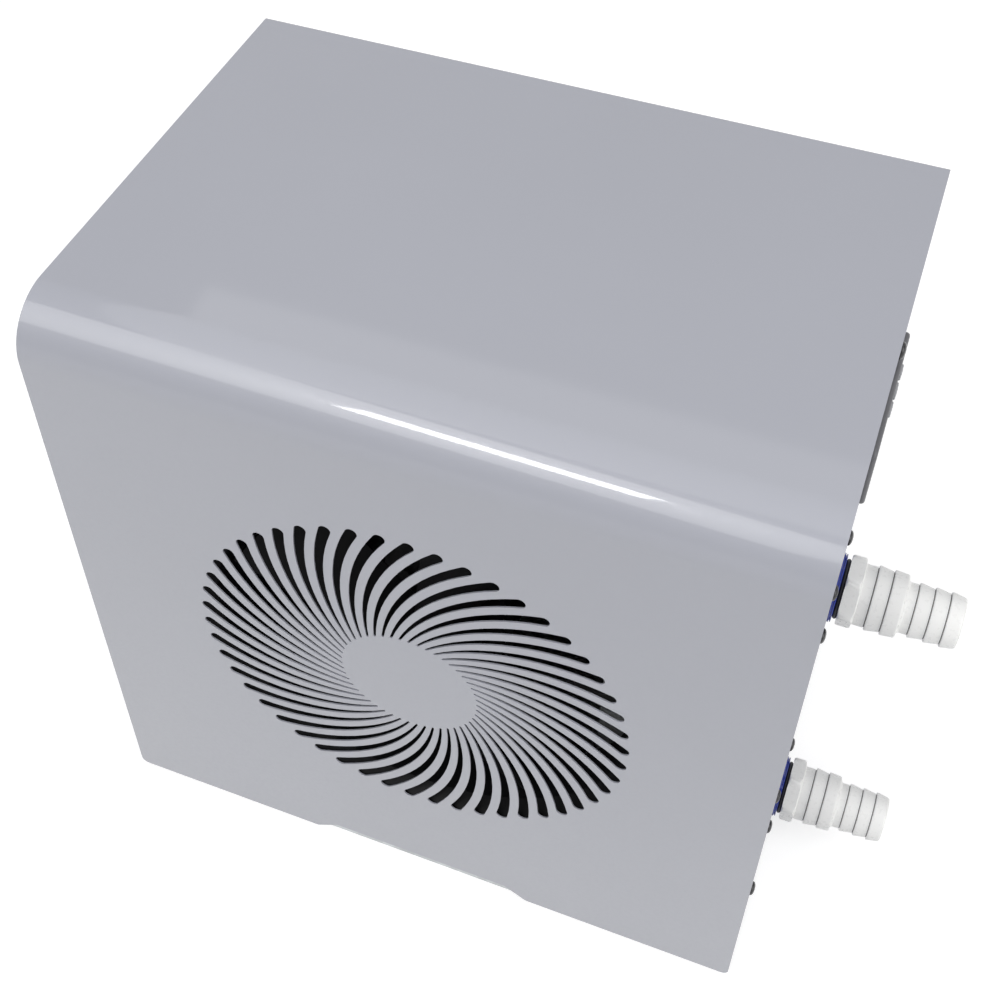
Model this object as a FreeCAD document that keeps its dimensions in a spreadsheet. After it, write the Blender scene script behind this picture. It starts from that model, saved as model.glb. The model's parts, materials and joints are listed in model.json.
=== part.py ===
"""Pool heat pump: sheet casing with a swirl grille, fan, refrigerant circuit and water exchanger."""
import FreeCAD, Part
import math
import os
import re
import Sketcher

# Driving sizes in millimetres. The casing frame runs X from the left face, Y from the
# front face and Z from the lower edge of the sheets.
SIZES = {
    # casing
    "case_width": 434, "case_depth": 299, "case_height": 443, "foot_gap": 3,
    "sheet": 1, "sheet_gap": 0.3, "bend_radius": 34, "rear_bend": 3, "panel_inset": 0.4,
    "rim": 14, "return_flange": 16, "corner_round": 5,
    "notch_bottom": 154, "notch_top": 123, "notch_height": 10.3, "notch_round": 4,
    "pan_wall": 28, "drain_radius": 7, "drain_start": 60, "drain_pitch": 80, "drain_shift": 2,
    "pan_notch_gap": 2, "flange_hole_depth": 5, "opening_side": 8, "opening_low": 10,
    "opening_high": 12,
    # swirl grille
    "fan_height": 222.6, "slot_count": 50, "slot_start": 43, "slot_end": 130.4,
    "slot_sweep": 35.8, "slot_curve": 126.4, "slot_start_half": 0.7, "slot_end_half": 3.6,
    "slot_turn": 1.5,
    # screws and feet
    "screw_head_radius": 4.75, "screw_head_height": 3, "screw_radius": 1.9, "screw_length": 9,
    "screw_hole": 2.2, "low_screw": 13, "high_screw_drop": 9, "side_screw": 57,
    "foot_radius": 13, "foot_stem": 4, "foot_hole": 4.2, "foot_inset": 46, "foot_inset_y": 26,
    "foot_barb": 1.5, "foot_tip": 1, "foot_stem_height": 5,
    # fan and motor
    "shroud_radius": 130, "shroud_wall": 2, "shroud_mouth": 137, "shroud_flange": 142,
    "shroud_depth": 40, "hub_radius": 30, "hub_front": 16, "hub_length": 30, "hub_wall": 2.5,
    "hub_round": 4, "hub_recess": 8,
    "blade_count": 5, "blade_root": 27, "blade_tip": 120, "blade_root_chord": 36,
    "blade_tip_chord": 72, "blade_root_pitch": 48, "blade_tip_pitch": 24, "blade_thickness": 2.6,
    "shaft_radius": 4, "shaft_clearance": 0.05, "shaft_front": 9, "nut_radius": 11, "nut_height": 6,
    "bracket_face": 57, "bracket_width": 76, "bracket_thickness": 2, "bracket_foot": 26,
    "bracket_hole_gap": 3, "bracket_rail": 10, "bracket_rib": 8, "bracket_window_low": 20,
    "bracket_window": 100,
    "motor_radius": 44, "motor_wall": 1.5, "motor_length": 54, "bearing_radius": 11,
    "bearing_width": 7, "bearing_boss": 2, "rotor_radius": 25, "rotor_length": 28, "rotor_gap": 0.5,
    "motor_bolt_circle": 36, "motor_screw_radius": 2, "motor_screw_length": 4,
    "motor_screw_head": 2.5, "shaft_play": 1,
    # partition and evaporator
    "right_bay": 116, "front_bay": 72, "jog_front": 50, "jog_rear": 62, "partition_front": 2,
    "partition_rear": 4,
    "coil_margin": 9, "fin_depth": 34, "fin_thickness": 0.3, "fin_pitch": 5, "fin_count": 54,
    "fin_rear": 14, "tube_radius": 4, "tube_fit": 0.1, "tube_rows": 14,
    "tube_bend_room": 21, "tube_bend": 14, "guard_thickness": 2, "guard_bar": 4, "guard_pitch": 12,
    "guard_side": 14, "guard_low": 2, "guard_high": 4, "guard_first_row": 12, "guard_margin": 28,
    "guard_columns": 4,
    # water exchanger and its ports
    "port_depth": 124, "lower_port": 37.2, "upper_port": 265.8, "exchanger_centre": 56,
    "exchanger_radius": 42, "exchanger_wall": 4, "exchanger_bottom": 11, "exchanger_top": 300,
    "cap_rim": 45, "cap_rim_height": 4, "cap_plug": 6, "port_radius": 17, "port_bore": 14.6,
    "port_flange": 56, "port_flange_thickness": 5, "port_screw_offset": 20.9,
    "stand_radius": 34, "stand_wall": 3, "helix_radius": 27, "helix_tube": 5.5, "helix_pitch": 16,
    "helix_bottom": 66, "helix_turns": 10, "core_wall": 2.5, "seat_gap": 0.2,
    "switch_radius": 9, "switch_collar": 6, "switch_neck": 7, "switch_length": 28,
    "switch_tip": 4, "switch_drop": 60,
    "union_radius": 20.8, "union_thickness": 2.2, "union_start": 0.8, "seal_radius": 17.9,
    "seal_thickness": 2.6, "hex_radius": 22.3, "hex_thickness": 8.6, "fitting_reach": 72.5,
    "tail_bore": 11.6, "large_root": 18.1, "large_crest": 19.3, "shoulder": 18.7,
    "small_root": 15, "small_crest": 16.2, "barb_pitch": 9, "first_barb": 22, "small_barb": 46,
    "barb_face": 0.6, "shoulder_length": 8, "tail_round": 1.2, "spigot_length": 20,
    "spigot_fit": 0.1, "seal_round": 0.8, "union_play": 0.3, "seal_play": 0.2,
    # compressor
    "compressor_x": 54, "compressor_y": 233, "compressor_radius": 46, "compressor_bottom": 18,
    "compressor_height": 178, "dome": 20, "plate_thickness": 3, "plate_reach": 58,
    "bolt_circle": 50, "bolt_head": 3, "bolt_play": 0.3, "plate_corner": 9,
    "grommet_radius": 9, "grommet_waist": 6, "bolt_radius": 3, "terminal_radius": 14,
    "terminal_height": 20, "terminal_shift": 9, "terminal_round": 3, "discharge_shift": 17,
    "accumulator_x": 96, "accumulator_y": 178, "accumulator_radius": 16,
    "accumulator_bottom": 60, "accumulator_height": 120,
    # pipes
    "pipe_radius": 4.8, "pipe_bend": 14, "link_radius": 4, "link_drop": 24, "pipe_hole": 5.4,
    "cap_port_shift": 16, "pipe_rise": 22, "drier_radius": 9, "drier_length": 66, "drier_x": 74,
    "drier_y": 250, "drier_top": 296, "valve_x": 104, "valve_y": 268, "valve_bottom": 120,
    "valve_height": 45, "valve_radius": 9, "neck_wall": 1, "drier_taper": 8, "valve_neck": 8,
    "valve_drop": 25, "feed_rise": 18,
    # control box and control panel
    "box_depth": 140, "box_width": 70, "box_height": 86, "box_wall": 2, "box_front": 66,
    "box_drop": 14, "board_thickness": 1.6, "board_margin": 5, "standoff": 6,
    "post_inset": 5, "post_radius": 3, "cable_inset": 16, "cable_start": 30, "cable_pitch": 40,
    "cable_radius": 7, "part_margin": 6, "relay_height": 16, "relay_width": 14,
    "relay_length": 19, "relay_start": 18, "relay_pitch": 22, "transformer_height": 26,
    "transformer_width": 30, "transformer_start": 92, "capacitor_radius": 8,
    "capacitor_height": 24, "capacitor_pitch": 22, "capacitor_up": 52,
    "bezel_width": 95, "bezel_height": 40, "bezel_proud": 3, "bezel_round": 5,
    "bezel_centre_y": 130.6, "bezel_drop": 38, "bezel_edge": 2, "bezel_border": 5,
    "bezel_depth": 12, "bezel_wall": 2, "bezel_join": 0.5, "window_width": 42,
    "window_height": 22, "window_shift": 17, "window_lip": 2, "window_flange": 1.2,
    "window_set": 1.4, "glass_set": 0.4, "display_depth": 5,
    "button_radius": 4.4, "button_gap": 0.3, "button_pitch": 15, "button_row": 6.8,
    "button_proud": 1, "button_flange": 1.2, "button_tail": 3.9, "button_stem": 1.5,
    "button_lip": 1, "button_chamfer": 0.4,
    # cable gland
    "gland_reach": 14, "gland_radius": 9, "gland_bore": 4.5, "gland_inset": 40,
    "gland_height": 70, "gland_tail": 8, "gland_wall": 2, "gland_collar": 6, "gland_step": 1.5,
    "gland_edge": 1, "gland_nut": 11, "gland_taper": 3,
    # play of loosely held pieces, and how far a cut runs past the face it starts from
    "fit_play": 0.05, "overcut": 1,
}

# Places worked out from the sizes: where the casing stands in the part's own frame, and
# the faces that several pieces share, in the casing frame.
PLACES = {
    "case_left": "(screw_head_height - case_width - fitting_reach) / 2",
    "case_front": "-(case_depth + gland_reach) / 2",
    "case_bottom": "foot_gap",
    "panel_face": "case_width - panel_inset",
    "panel_inner": "case_width - panel_inset - sheet",
    "roof": "case_height - sheet - sheet_gap",
    "rear_face": "case_depth - sheet - sheet_gap",
    "rim_rear": "case_depth - 2 * sheet - 2 * sheet_gap",
    "pan_left": "panel_inset + sheet + sheet_gap",
    "pan_width": "case_width - 2 * panel_inset - 2 * sheet - 2 * sheet_gap",
    "pan_front": "2 * sheet + 2 * sheet_gap",
    "pan_depth": "case_depth - 5 * sheet - 5 * sheet_gap",
    "pan_underside": "sheet + sheet_gap",
    "pan_floor": "2 * sheet + sheet_gap",
    "inner_roof": "case_height - 2 * sheet - 2 * sheet_gap",
    "fan_x": "case_width / 2",
    "partition_x": "case_width - right_bay",
    "port_x": "case_width - exchanger_centre",
    "fin_left": "pan_left + coil_margin + tube_bend_room",
    "fin_right": "fin_left + fin_pitch * (fin_count - 1)",
    "fin_top": "inner_roof - 6",
    "fin_height": "fin_top - fin_bottom",
    "fin_bottom": "pan_floor + 4",
    "fin_back": "rim_rear - fin_rear",
    "motor_front": "bracket_face + bracket_thickness",
    "motor_rear": "motor_front + motor_length",
    "rotor_front": "motor_front + (motor_length - rotor_length) / 2",
    "control_z": "case_height - bezel_drop",
    "box_left": "partition_x + sheet + sheet_gap",
    "box_bottom": "inner_roof - box_drop - box_height",
    "compressor_top": "compressor_bottom + compressor_height",
    "tube_y": "fin_back - fin_depth / 2",
    "tube_right": "fin_right + tube_bend_room - tube_radius",
    "tube_left": "fin_left - tube_bend_room + tube_radius",
    "first_row": "fin_bottom + fin_height / (2 * tube_rows)",
    "last_row": "fin_top - fin_height / (2 * tube_rows)",
    "cap_top": "exchanger_top + cap_rim_height",
    "high_screw": "case_height - high_screw_drop",
    "guard_span": "fin_right - fin_left + opening_side + guard_bar",
    "guard_rows": "floor((fin_height - guard_margin) / guard_pitch)",
    "pipe_neck": "pipe_radius + neck_wall",
}

doc = FreeCAD.newDocument("heat_pump")
sheet = doc.addObject("Spreadsheet::Sheet", "Dims")
for row, (name, number) in enumerate(SIZES.items(), start=1):
    sheet.set(f"A{row}", name)
    sheet.set(f"B{row}", str(number))
    sheet.setAlias(f"B{row}", name)
doc.recompute()

nodes = []
UPRIGHT = FreeCAD.Rotation()
ALONG_X = FreeCAD.Rotation(FreeCAD.Vector(0, 1, 0), 90)
ALONG_Y = FreeCAD.Rotation(FreeCAD.Vector(1, 0, 0), -90)
TOWARDS_FRONT = FreeCAD.Rotation(FreeCAD.Vector(1, 0, 0), 90)
TOWARDS_LEFT = FreeCAD.Rotation(FreeCAD.Vector(0, 1, 0), -90)


# ---------------------------------------------------------------- formulas and placing

def bound(formula):
    """Write a formula of size and place names as an expression on the sheet."""
    def word(match):
        name = match.group(0)
        if name in SIZES:
            return "Dims." + name
        if name in PLACES:
            return "(" + bound(PLACES[name]) + ")"
        return name
    return re.sub(r"[a-z_]+", word, str(formula))


def size(formula):
    """The present value of a formula."""
    return float(sheet.evalExpression(bound(formula)))


def drive(thing, setting, formula):
    """Bind one property to a formula, or set it when the formula is a plain number."""
    if re.search("[a-z]", str(formula)):
        thing.setExpression(setting, bound(formula))
    else:
        thing.setExpression(setting, str(formula))


def place(thing, x, y, z, turn=UPRIGHT):
    """Put an object at a point of the casing frame."""
    thing.Placement = FreeCAD.Placement(FreeCAD.Vector(), turn)
    drive(thing, "Placement.Base.x", f"case_left + ({x})")
    drive(thing, "Placement.Base.y", f"case_front + ({y})")
    drive(thing, "Placement.Base.z", f"case_bottom + ({z})")
    return thing


def node(thing, label):
    """Mark an object as a sub-part under its own label."""
    thing.Label = label
    nodes.append(thing)
    return thing


# ---------------------------------------------------------------- sketches and features

def new_body(name):
    return doc.addObject("PartDesign::Body", name.title().replace("_", ""))


def origin_feature(body, role):
    return [item for item in body.Origin.OriginFeatures if item.Role == role][0]


def new_sketch(body, name, plane="XY_Plane", lift="0"):
    """A sketch on one of the body's own planes, lifted along the plane's normal."""
    sketch = body.newObject("Sketcher::SketchObject", name)
    sketch.AttachmentSupport = [(origin_feature(body, plane), "")]
    sketch.MapMode = "FlatFace"
    drive(sketch, "AttachmentOffset.Base.z", lift)
    return sketch


def pin_point(sketch, edge, end, x, y):
    """Hold one point of a sketch edge at bound distances from the sketch's origin."""
    for kind, formula in (("DistanceX", x), ("DistanceY", y)):
        limit = Sketcher.Constraint(kind, -1, 1, edge, end, size(formula))
        drive(sketch, f"Constraints[{sketch.addConstraint(limit)}]", formula)


def add_outline(sketch, points):
    """A closed outline of straight edges through points given as formulas."""
    corners = [FreeCAD.Vector(size(x), size(y), 0) for x, y in points]
    first = sketch.GeometryCount
    count = len(corners)
    for step in range(count):
        sketch.addGeometry(Part.LineSegment(corners[step], corners[(step + 1) % count]), False)
    for step in range(count):
        ends = (first + step, 2, first + (step + 1) % count, 1)
        sketch.addConstraint(Sketcher.Constraint("Coincident", *ends))
        pin_point(sketch, first + step, 1, *points[step])


def add_circle(sketch, x, y, radius):
    centre = FreeCAD.Vector(size(x), size(y), 0)
    edge = sketch.addGeometry(Part.Circle(centre, FreeCAD.Vector(0, 0, 1), size(radius)), False)
    pin_point(sketch, edge, 3, x, y)
    limit = sketch.addConstraint(Sketcher.Constraint("Radius", edge, size(radius)))
    drive(sketch, f"Constraints[{limit}]", radius)


def rectangle(x, y, width, height):
    """Corner formulas of a rectangle from its lower left corner."""
    return [(x, y), (f"{x} + {width}", y), (f"{x} + {width}", f"{y} + {height}"),
            (x, f"{y} + {height}")]


def centred(x, y, width, height):
    """Corner formulas of a rectangle about its centre."""
    return rectangle(f"{x} - ({width}) / 2", f"{y} - ({height}) / 2", f"({width})", f"({height})")


def pad(body, sketch, length, reversed_side=False):
    feature = body.newObject("PartDesign::Pad", sketch.Name + "Pad")
    feature.Profile = sketch
    feature.Reversed = reversed_side
    drive(feature, "Length", length)
    body.Tip = feature
    doc.recompute()
    return feature


def pocket(body, sketch, length):
    """Cut a sketch into the body against its plane's normal, and check that it removed material."""
    before = body.Shape.Volume
    feature = body.newObject("PartDesign::Pocket", sketch.Name + "Pocket")
    feature.Profile = sketch
    drive(feature, "Length", length)
    body.Tip = feature
    doc.recompute()
    if not feature.Shape.Volume < before:
        raise RuntimeError(f"{feature.Name} removed nothing")
    return feature


def fillet(body, radius, wanted):
    """Round the edges of the body's tip for which wanted(edge) is true."""
    base = body.Tip
    names = [f"Edge{number}" for number, edge in enumerate(base.Shape.Edges, start=1)
             if wanted(edge)]
    if not names:
        raise RuntimeError(f"no edge to round on {body.Name}")
    feature = body.newObject("PartDesign::Fillet", "Round")
    feature.Base = (base, names)
    drive(feature, "Radius", radius)
    body.Tip = feature
    doc.recompute()
    return feature


def hollow(body, wall, open_side):
    """Leave a wall of even thickness inside the body, open at the face that open_side picks."""
    base = body.Tip
    names = [f"Face{number}" for number, face in enumerate(base.Shape.Faces, start=1)
             if open_side(face)]
    feature = body.newObject("PartDesign::Thickness", "Hollow")
    feature.Base = (base, names)
    feature.Reversed = True
    feature.Join = 1
    drive(feature, "Value", wall)
    body.Tip = feature
    doc.recompute()
    return feature


def edge_at(direction, tests):
    """An edge picker: straight edges along a direction whose middle matches {axis: value}."""
    def wanted(edge):
        if not isinstance(edge.Curve, (Part.Line, Part.LineSegment)):
            return False
        along = edge.tangentAt(edge.FirstParameter)
        if abs(abs(getattr(along, direction)) - 1) > 1e-6:
            return False
        middle = edge.CenterOfMass
        return all(any(abs(getattr(middle, axis) - value) < 1e-3 for value in values)
                   for axis, values in tests.items())
    return wanted


def circle_at(height, radius=None):
    """An edge picker: full circles about the body's Z axis at a height."""
    def wanted(edge):
        if not isinstance(edge.Curve, Part.Circle):
            return False
        if abs(edge.Curve.Center.z - height) > 1e-3:
            return False
        return radius is None or abs(edge.Curve.Radius - radius) < 1e-3
    return wanted


def face_at(axis, value):
    """A face picker: flat faces whose middle lies at a value along an axis."""
    def wanted(face):
        return (isinstance(face.Surface, Part.Plane)
                and abs(getattr(face.CenterOfMass, axis) - value) < 1e-3
                and abs(abs(getattr(face.normalAt(0, 0), axis)) - 1) < 1e-6)
    return wanted


# ---------------------------------------------------------------- whole sub-part makers

def turned_body(label, profile, x, y, z, turn=UPRIGHT):
    """A body turned about its own Z axis from (radius, height) points."""
    body = new_body(label)
    sketch = new_sketch(body, body.Name + "Profile", "XZ_Plane")
    add_outline(sketch, profile)
    feature = body.newObject("PartDesign::Revolution", body.Name + "Turn")
    feature.Profile = sketch
    feature.ReferenceAxis = (sketch, ["V_Axis"])
    feature.Angle = 360
    body.Tip = feature
    doc.recompute()
    return place(body, x, y, z, turn)


def turned(label, profile, x, y, z, turn=UPRIGHT):
    return node(turned_body(label, profile, x, y, z, turn), label)


def ring(inner, outer, bottom, top):
    """The profile of a plain ring."""
    return [(inner, bottom), (outer, bottom), (outer, top), (inner, top)]


def disc(radius, bottom, top):
    """The profile of a plain disc."""
    return ring("0", radius, bottom, top)


def plate(label, plane, outline, thickness, x, y, z, circles=(), cutouts=()):
    """A flat plate on a body plane with round and straight-sided holes."""
    body = new_body(label)
    sketch = new_sketch(body, body.Name + "Outline", plane)
    add_outline(sketch, outline)
    for circle in circles:
        add_circle(sketch, *circle)
    for cutout in cutouts:
        add_outline(sketch, cutout)
    pad(body, sketch, thickness)
    place(body, x, y, z)
    return node(body, label)


def group(label, master, places, turn=UPRIGHT):
    """Copies of one body at several points of the casing frame, as one sub-part."""
    copies = []
    for number, point in enumerate(places, start=1):
        copy = doc.addObject("App::Link", f"{label}_{number}")
        copy.LinkedObject = master
        copy.LinkTransform = False
        place(copy, *point, turn)
        copies.append(copy)
    compound = doc.addObject("Part::Compound", label.title().replace("_", ""))
    compound.Links = copies
    doc.recompute()
    return node(compound, label)


def bent_tube(label, radius, bend, points):
    """A round tube through points of the casing frame with a bend at each inner point."""
    corners = [FreeCAD.Vector(*(size(value) for value in point)) for point in points]
    edges = []
    start = corners[0]
    for before, corner, after in zip(corners, corners[1:], corners[2:]):
        incoming = (corner - before).normalize()
        outgoing = (after - corner).normalize()
        half_turn = incoming.getAngle(outgoing) / 2
        setback = size(bend) * math.tan(half_turn)
        arc_start = corner - incoming * setback
        arc_end = corner + outgoing * setback
        towards_centre = (outgoing - incoming).normalize()
        centre = corner + towards_centre * (size(bend) / math.cos(half_turn))
        arc_middle = centre - towards_centre * size(bend)
        if (arc_start - start).Length > 1e-3:
            edges.append(Part.makeLine(start, arc_start))
        edges.append(Part.Arc(arc_start, arc_middle, arc_end).toShape())
        start = arc_end
    edges.append(Part.makeLine(start, corners[-1]))
    path = Part.Wire(edges)
    heading = corners[1] - corners[0]
    mouth = Part.Wire(Part.makeCircle(size(radius), corners[0], heading))
    tube = doc.addObject("Part::Feature", label.title().replace("_", ""))
    tube.Shape = path.makePipeShell([mouth], True, False)
    place(tube, "0", "0", "0")
    return node(tube, label)


def helix(label, coil_radius, tube_radius, pitch, turns, x, y, z):
    """A coil of round tube about a vertical axis."""
    spine = doc.addObject("Part::Helix", label + "_spine")
    drive(spine, "Pitch", pitch)
    drive(spine, "Height", f"({pitch}) * ({turns})")
    drive(spine, "Radius", coil_radius)
    mouth = doc.addObject("Part::Circle", label + "_mouth")
    mouth.Placement.Rotation = TOWARDS_FRONT
    drive(mouth, "Radius", tube_radius)
    drive(mouth, "Placement.Base.x", coil_radius)
    doc.recompute()
    coil = doc.addObject("Part::Sweep", label.title().replace("_", ""))
    coil.Sections = [mouth]
    coil.Spine = spine
    coil.Solid = True
    coil.Frenet = True
    place(coil, x, y, z)
    doc.recompute()
    return node(coil, label)


def cylinder(name, radius, height, x, y, z, turn=UPRIGHT):
    """A cylinder from a point of the casing frame, for use in a boolean."""
    solid = doc.addObject("Part::Cylinder", name)
    drive(solid, "Radius", radius)
    drive(solid, "Height", height)
    return place(solid, x, y, z, turn)


def block(name, length, width, height, x, y, z):
    """A box from a point of the casing frame, for use in a boolean."""
    solid = doc.addObject("Part::Box", name)
    drive(solid, "Length", length)
    drive(solid, "Width", width)
    drive(solid, "Height", height)
    return place(solid, x, y, z)


def fused(name, pieces):
    joined = doc.addObject("Part::MultiFuse", name)
    joined.Shapes = pieces
    doc.recompute()
    return joined


def cut(name, base, tools):
    """The base less the tools, with the result checked against the base's volume."""
    result = doc.addObject("Part::Cut", name)
    result.Base = base
    result.Tool = fused(name + "Tools", tools) if len(tools) > 1 else tools[0]
    doc.recompute()
    if not result.Shape.Volume < base.Shape.Volume:
        raise RuntimeError(f"{name} removed nothing")
    return result


# ---------------------------------------------------------------- casing

SIDE_SCREWS = [("side_screw", "low_screw"), ("case_depth / 2 + 1", "high_screw")]
PORT_SCREWS = [(f"port_depth + ({across})", f"{port} + ({up})")
               for port in ("lower_port", "upper_port")
               for across in ("port_screw_offset", "-port_screw_offset")
               for up in ("port_screw_offset", "-port_screw_offset")]
REAR_CORNERS = ("rim / 2 + 1", "case_width - rim / 2 - 1")
REAR_SCREWS = [(x, z) for x in REAR_CORNERS for z in ("low_screw", "high_screw")]
REAR_SCREWS.append(("case_width / 2", "high_screw"))


def slot_side(start, end, lean):
    """One long side of a swirl slot: an arc that both rounded ends touch.

    lean is 1 on the side that bulges away from the slot's middle line and -1 on the other.
    """
    start_half = size("slot_start_half")
    end_half = size("slot_end_half")
    radius = size(f"slot_curve + {lean} * (slot_start_half + slot_end_half) / 2")
    from_start = radius - lean * start_half
    from_end = radius - lean * end_half
    span = (end - start).Length
    along = (from_start ** 2 - from_end ** 2 + span ** 2) / (2 * span)
    aside = math.sqrt(from_start ** 2 - along ** 2)
    heading = (end - start).normalize()
    inward = FreeCAD.Vector(heading.y, -heading.x, 0)
    centre = start + heading * along + inward * aside
    touch_start = centre + (start - centre).normalize() * radius
    touch_end = centre + (end - centre).normalize() * radius
    between = (touch_start + touch_end) * 0.5 - centre
    return touch_start, centre + between.normalize() * radius, touch_end


def touch(sketch, first, second):
    """Make two sketch arcs tangent where their ends already meet."""
    for first_end in (1, 2):
        for second_end in (1, 2):
            gap = sketch.getPoint(first, first_end) - sketch.getPoint(second, second_end)
            if gap.Length < 1e-4:
                ends = (first, first_end, second, second_end)
                sketch.addConstraint(Sketcher.Constraint("Tangent", *ends))


def swirl_slot(body):
    """Sketch one slot of the grille about the body's origin."""
    sketch = new_sketch(body, "SwirlSlot", "XZ_Plane", "1")
    begin = ("slot_start * cos(slot_turn)", "slot_start * sin(slot_turn)")
    finish = ("slot_end * cos(slot_turn - slot_sweep)", "slot_end * sin(slot_turn - slot_sweep)")
    start = FreeCAD.Vector(size(begin[0]), size(begin[1]), 0)
    end = FreeCAD.Vector(size(finish[0]), size(finish[1]), 0)
    outer = slot_side(start, end, 1)
    inner = slot_side(start, end, -1)
    start_tip = start + (start - end).normalize() * size("slot_start_half")
    across = (outer[2] - inner[2]).normalize()
    end_tip = end + FreeCAD.Vector(-across.y, across.x, 0) * size("slot_end_half")
    if (end_tip - start).Length < (end - start).Length:
        end_tip = end * 2 - end_tip
    sides = [sketch.addGeometry(Part.Arc(*outer), False), sketch.addGeometry(Part.Arc(*inner), False)]
    caps = [sketch.addGeometry(Part.Arc(inner[0], start_tip, outer[0]), False),
            sketch.addGeometry(Part.Arc(inner[2], end_tip, outer[2]), False)]
    for cap in caps:
        for side in sides:
            touch(sketch, cap, side)
    pin_point(sketch, caps[0], 3, *begin)
    pin_point(sketch, caps[1], 3, *finish)
    mean_half = "(slot_start_half + slot_end_half) / 2"
    radii = zip(caps + sides, ("slot_start_half", "slot_end_half", f"slot_curve + {mean_half}",
                               f"slot_curve - {mean_half}"))
    for arc, radius in radii:
        limit = sketch.addConstraint(Sketcher.Constraint("Radius", arc, size(radius)))
        drive(sketch, f"Constraints[{limit}]", radius)
    return sketch


def make_wrap_cover():
    """Front and top in one bent sheet. The body's origin is the grille's centre."""
    body = new_body("wrap_cover")
    low = "-fan_height"
    high = "case_height - fan_height"
    profile = new_sketch(body, "WrapProfile", "YZ_Plane", "-case_width / 2")
    add_outline(profile, [
        ("0", low), ("sheet", low), ("sheet", f"{high} - sheet"),
        ("case_depth - sheet", f"{high} - sheet"),
        ("case_depth - sheet", f"{high} - return_flange"),
        ("case_depth", f"{high} - return_flange"), ("case_depth", high), ("0", high)])
    pad(body, profile, "case_width")
    top = size(high)
    wall = size("sheet")
    depth = size("case_depth")
    fillet(body, "bend_radius", edge_at("x", {"y": [0], "z": [top]}))
    fillet(body, "bend_radius - sheet", edge_at("x", {"y": [wall], "z": [top - wall]}))
    fillet(body, "rear_bend", edge_at("x", {"y": [depth], "z": [top]}))
    fillet(body, "rear_bend - sheet", edge_at("x", {"y": [depth - wall], "z": [top - wall]}))
    notch = new_sketch(body, "FrontNotch", "XZ_Plane", "1")
    add_outline(notch, [("-notch_bottom / 2", f"{low} - 1"), ("notch_bottom / 2", f"{low} - 1"),
                        ("notch_bottom / 2", low), ("notch_top / 2", f"{low} + notch_height"),
                        ("-notch_top / 2", f"{low} + notch_height"), ("-notch_bottom / 2", low)])
    pocket(body, notch, "sheet + 2")
    ends = [size("notch_bottom / 2"), size("-notch_bottom / 2")]
    inner_ends = [size("notch_top / 2"), size("-notch_top / 2")]
    fillet(body, "notch_round", lambda edge: edge_at("y", {"x": ends, "z": [size(low)]})(edge)
           or edge_at("y", {"x": inner_ends, "z": [size(f"{low} + notch_height")]})(edge))
    sides = [size("case_width / 2"), size("-case_width / 2")]
    fillet(body, "corner_round", edge_at("y", {"x": sides, "z": [size(low)]}))
    holes = new_sketch(body, "FlangeHoles", "XZ_Plane", "-(case_depth - flange_hole_depth / 2)")
    for x, z in REAR_SCREWS:
        if z == "high_screw":
            add_circle(holes, f"{x} - case_width / 2", f"{z} - fan_height", "screw_hole")
    pocket(body, holes, "flange_hole_depth")
    first = pocket(body, swirl_slot(body), "sheet + 2")
    swirl = body.newObject("PartDesign::PolarPattern", "Swirl")
    swirl.Originals = [first]
    swirl.Axis = (origin_feature(body, "Y_Axis"), [""])
    swirl.Angle = 360
    drive(swirl, "Occurrences", "slot_count")
    body.Tip = swirl
    doc.recompute()
    place(body, "fan_x", "0", "fan_height")
    return node(body, "wrap_cover")


def make_side_panel(label, right):
    """A side sheet with a folded rim all round, open towards the inside of the case."""
    body = new_body(label)
    outline = new_sketch(body, body.Name + "Outline", "YZ_Plane", "-rim" if right else "0")
    add_outline(outline, rectangle("sheet + sheet_gap", "0", "(rim_rear - sheet - sheet_gap)",
                                   "roof"))
    pad(body, outline, "rim")
    fillet(body, "bend_radius - sheet - sheet_gap",
           edge_at("x", {"y": [size("sheet + sheet_gap")], "z": [size("roof")]}))
    open_face = size("-rim") if right else size("rim")
    hollow(body, "sheet", face_at("x", open_face))
    holes = new_sketch(body, body.Name + "Holes", "YZ_Plane", "1" if right else "sheet + 1")
    for y, z in SIDE_SCREWS:
        add_circle(holes, y, z, "screw_hole")
    if right:
        for port in ("lower_port", "upper_port"):
            add_circle(holes, "port_depth", port, "port_radius + 2 * sheet_gap")
        for y, z in PORT_SCREWS:
            add_circle(holes, y, z, "screw_hole")
        add_outline(holes, centred("bezel_centre_y", "control_z", "bezel_width - 2 * bezel_border",
                                   "bezel_height - 2 * bezel_border"))
    pocket(body, holes, "sheet + 2")
    rim_holes = new_sketch(body, body.Name + "RimHoles", "XZ_Plane", "-(rim_rear - flange_hole_depth / 2)")
    across = "-(rim / 2 + 1)" if right else "rim / 2 + 1"
    for z in ("low_screw", "high_screw"):
        add_circle(rim_holes, f"{across} + panel_inset" if right else f"{across} - panel_inset",
                   z, "screw_hole")
    pocket(body, rim_holes, "flange_hole_depth")
    place(body, "panel_face" if right else "panel_inset", "0", "0")
    return node(body, label)


def make_rear_panel():
    left, right = "fin_left - opening_side", "fin_right + opening_side"
    low, high = "fin_bottom + opening_low", "fin_top - opening_high"
    opening = [(left, low), (right, low), (right, high), (left, high)]
    outline = rectangle("panel_inset", "0", "(case_width - 2 * panel_inset)", "(roof - rear_bend)")
    circles = [(x, z, "screw_hole") for x, z in REAR_SCREWS]
    circles.append(("case_width - gland_inset", "gland_height", "gland_radius - gland_wall + sheet_gap"))
    return plate("rear_panel", "XZ_Plane", outline, "sheet", "0", "rear_face", "0",
                 circles, [opening])


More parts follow.
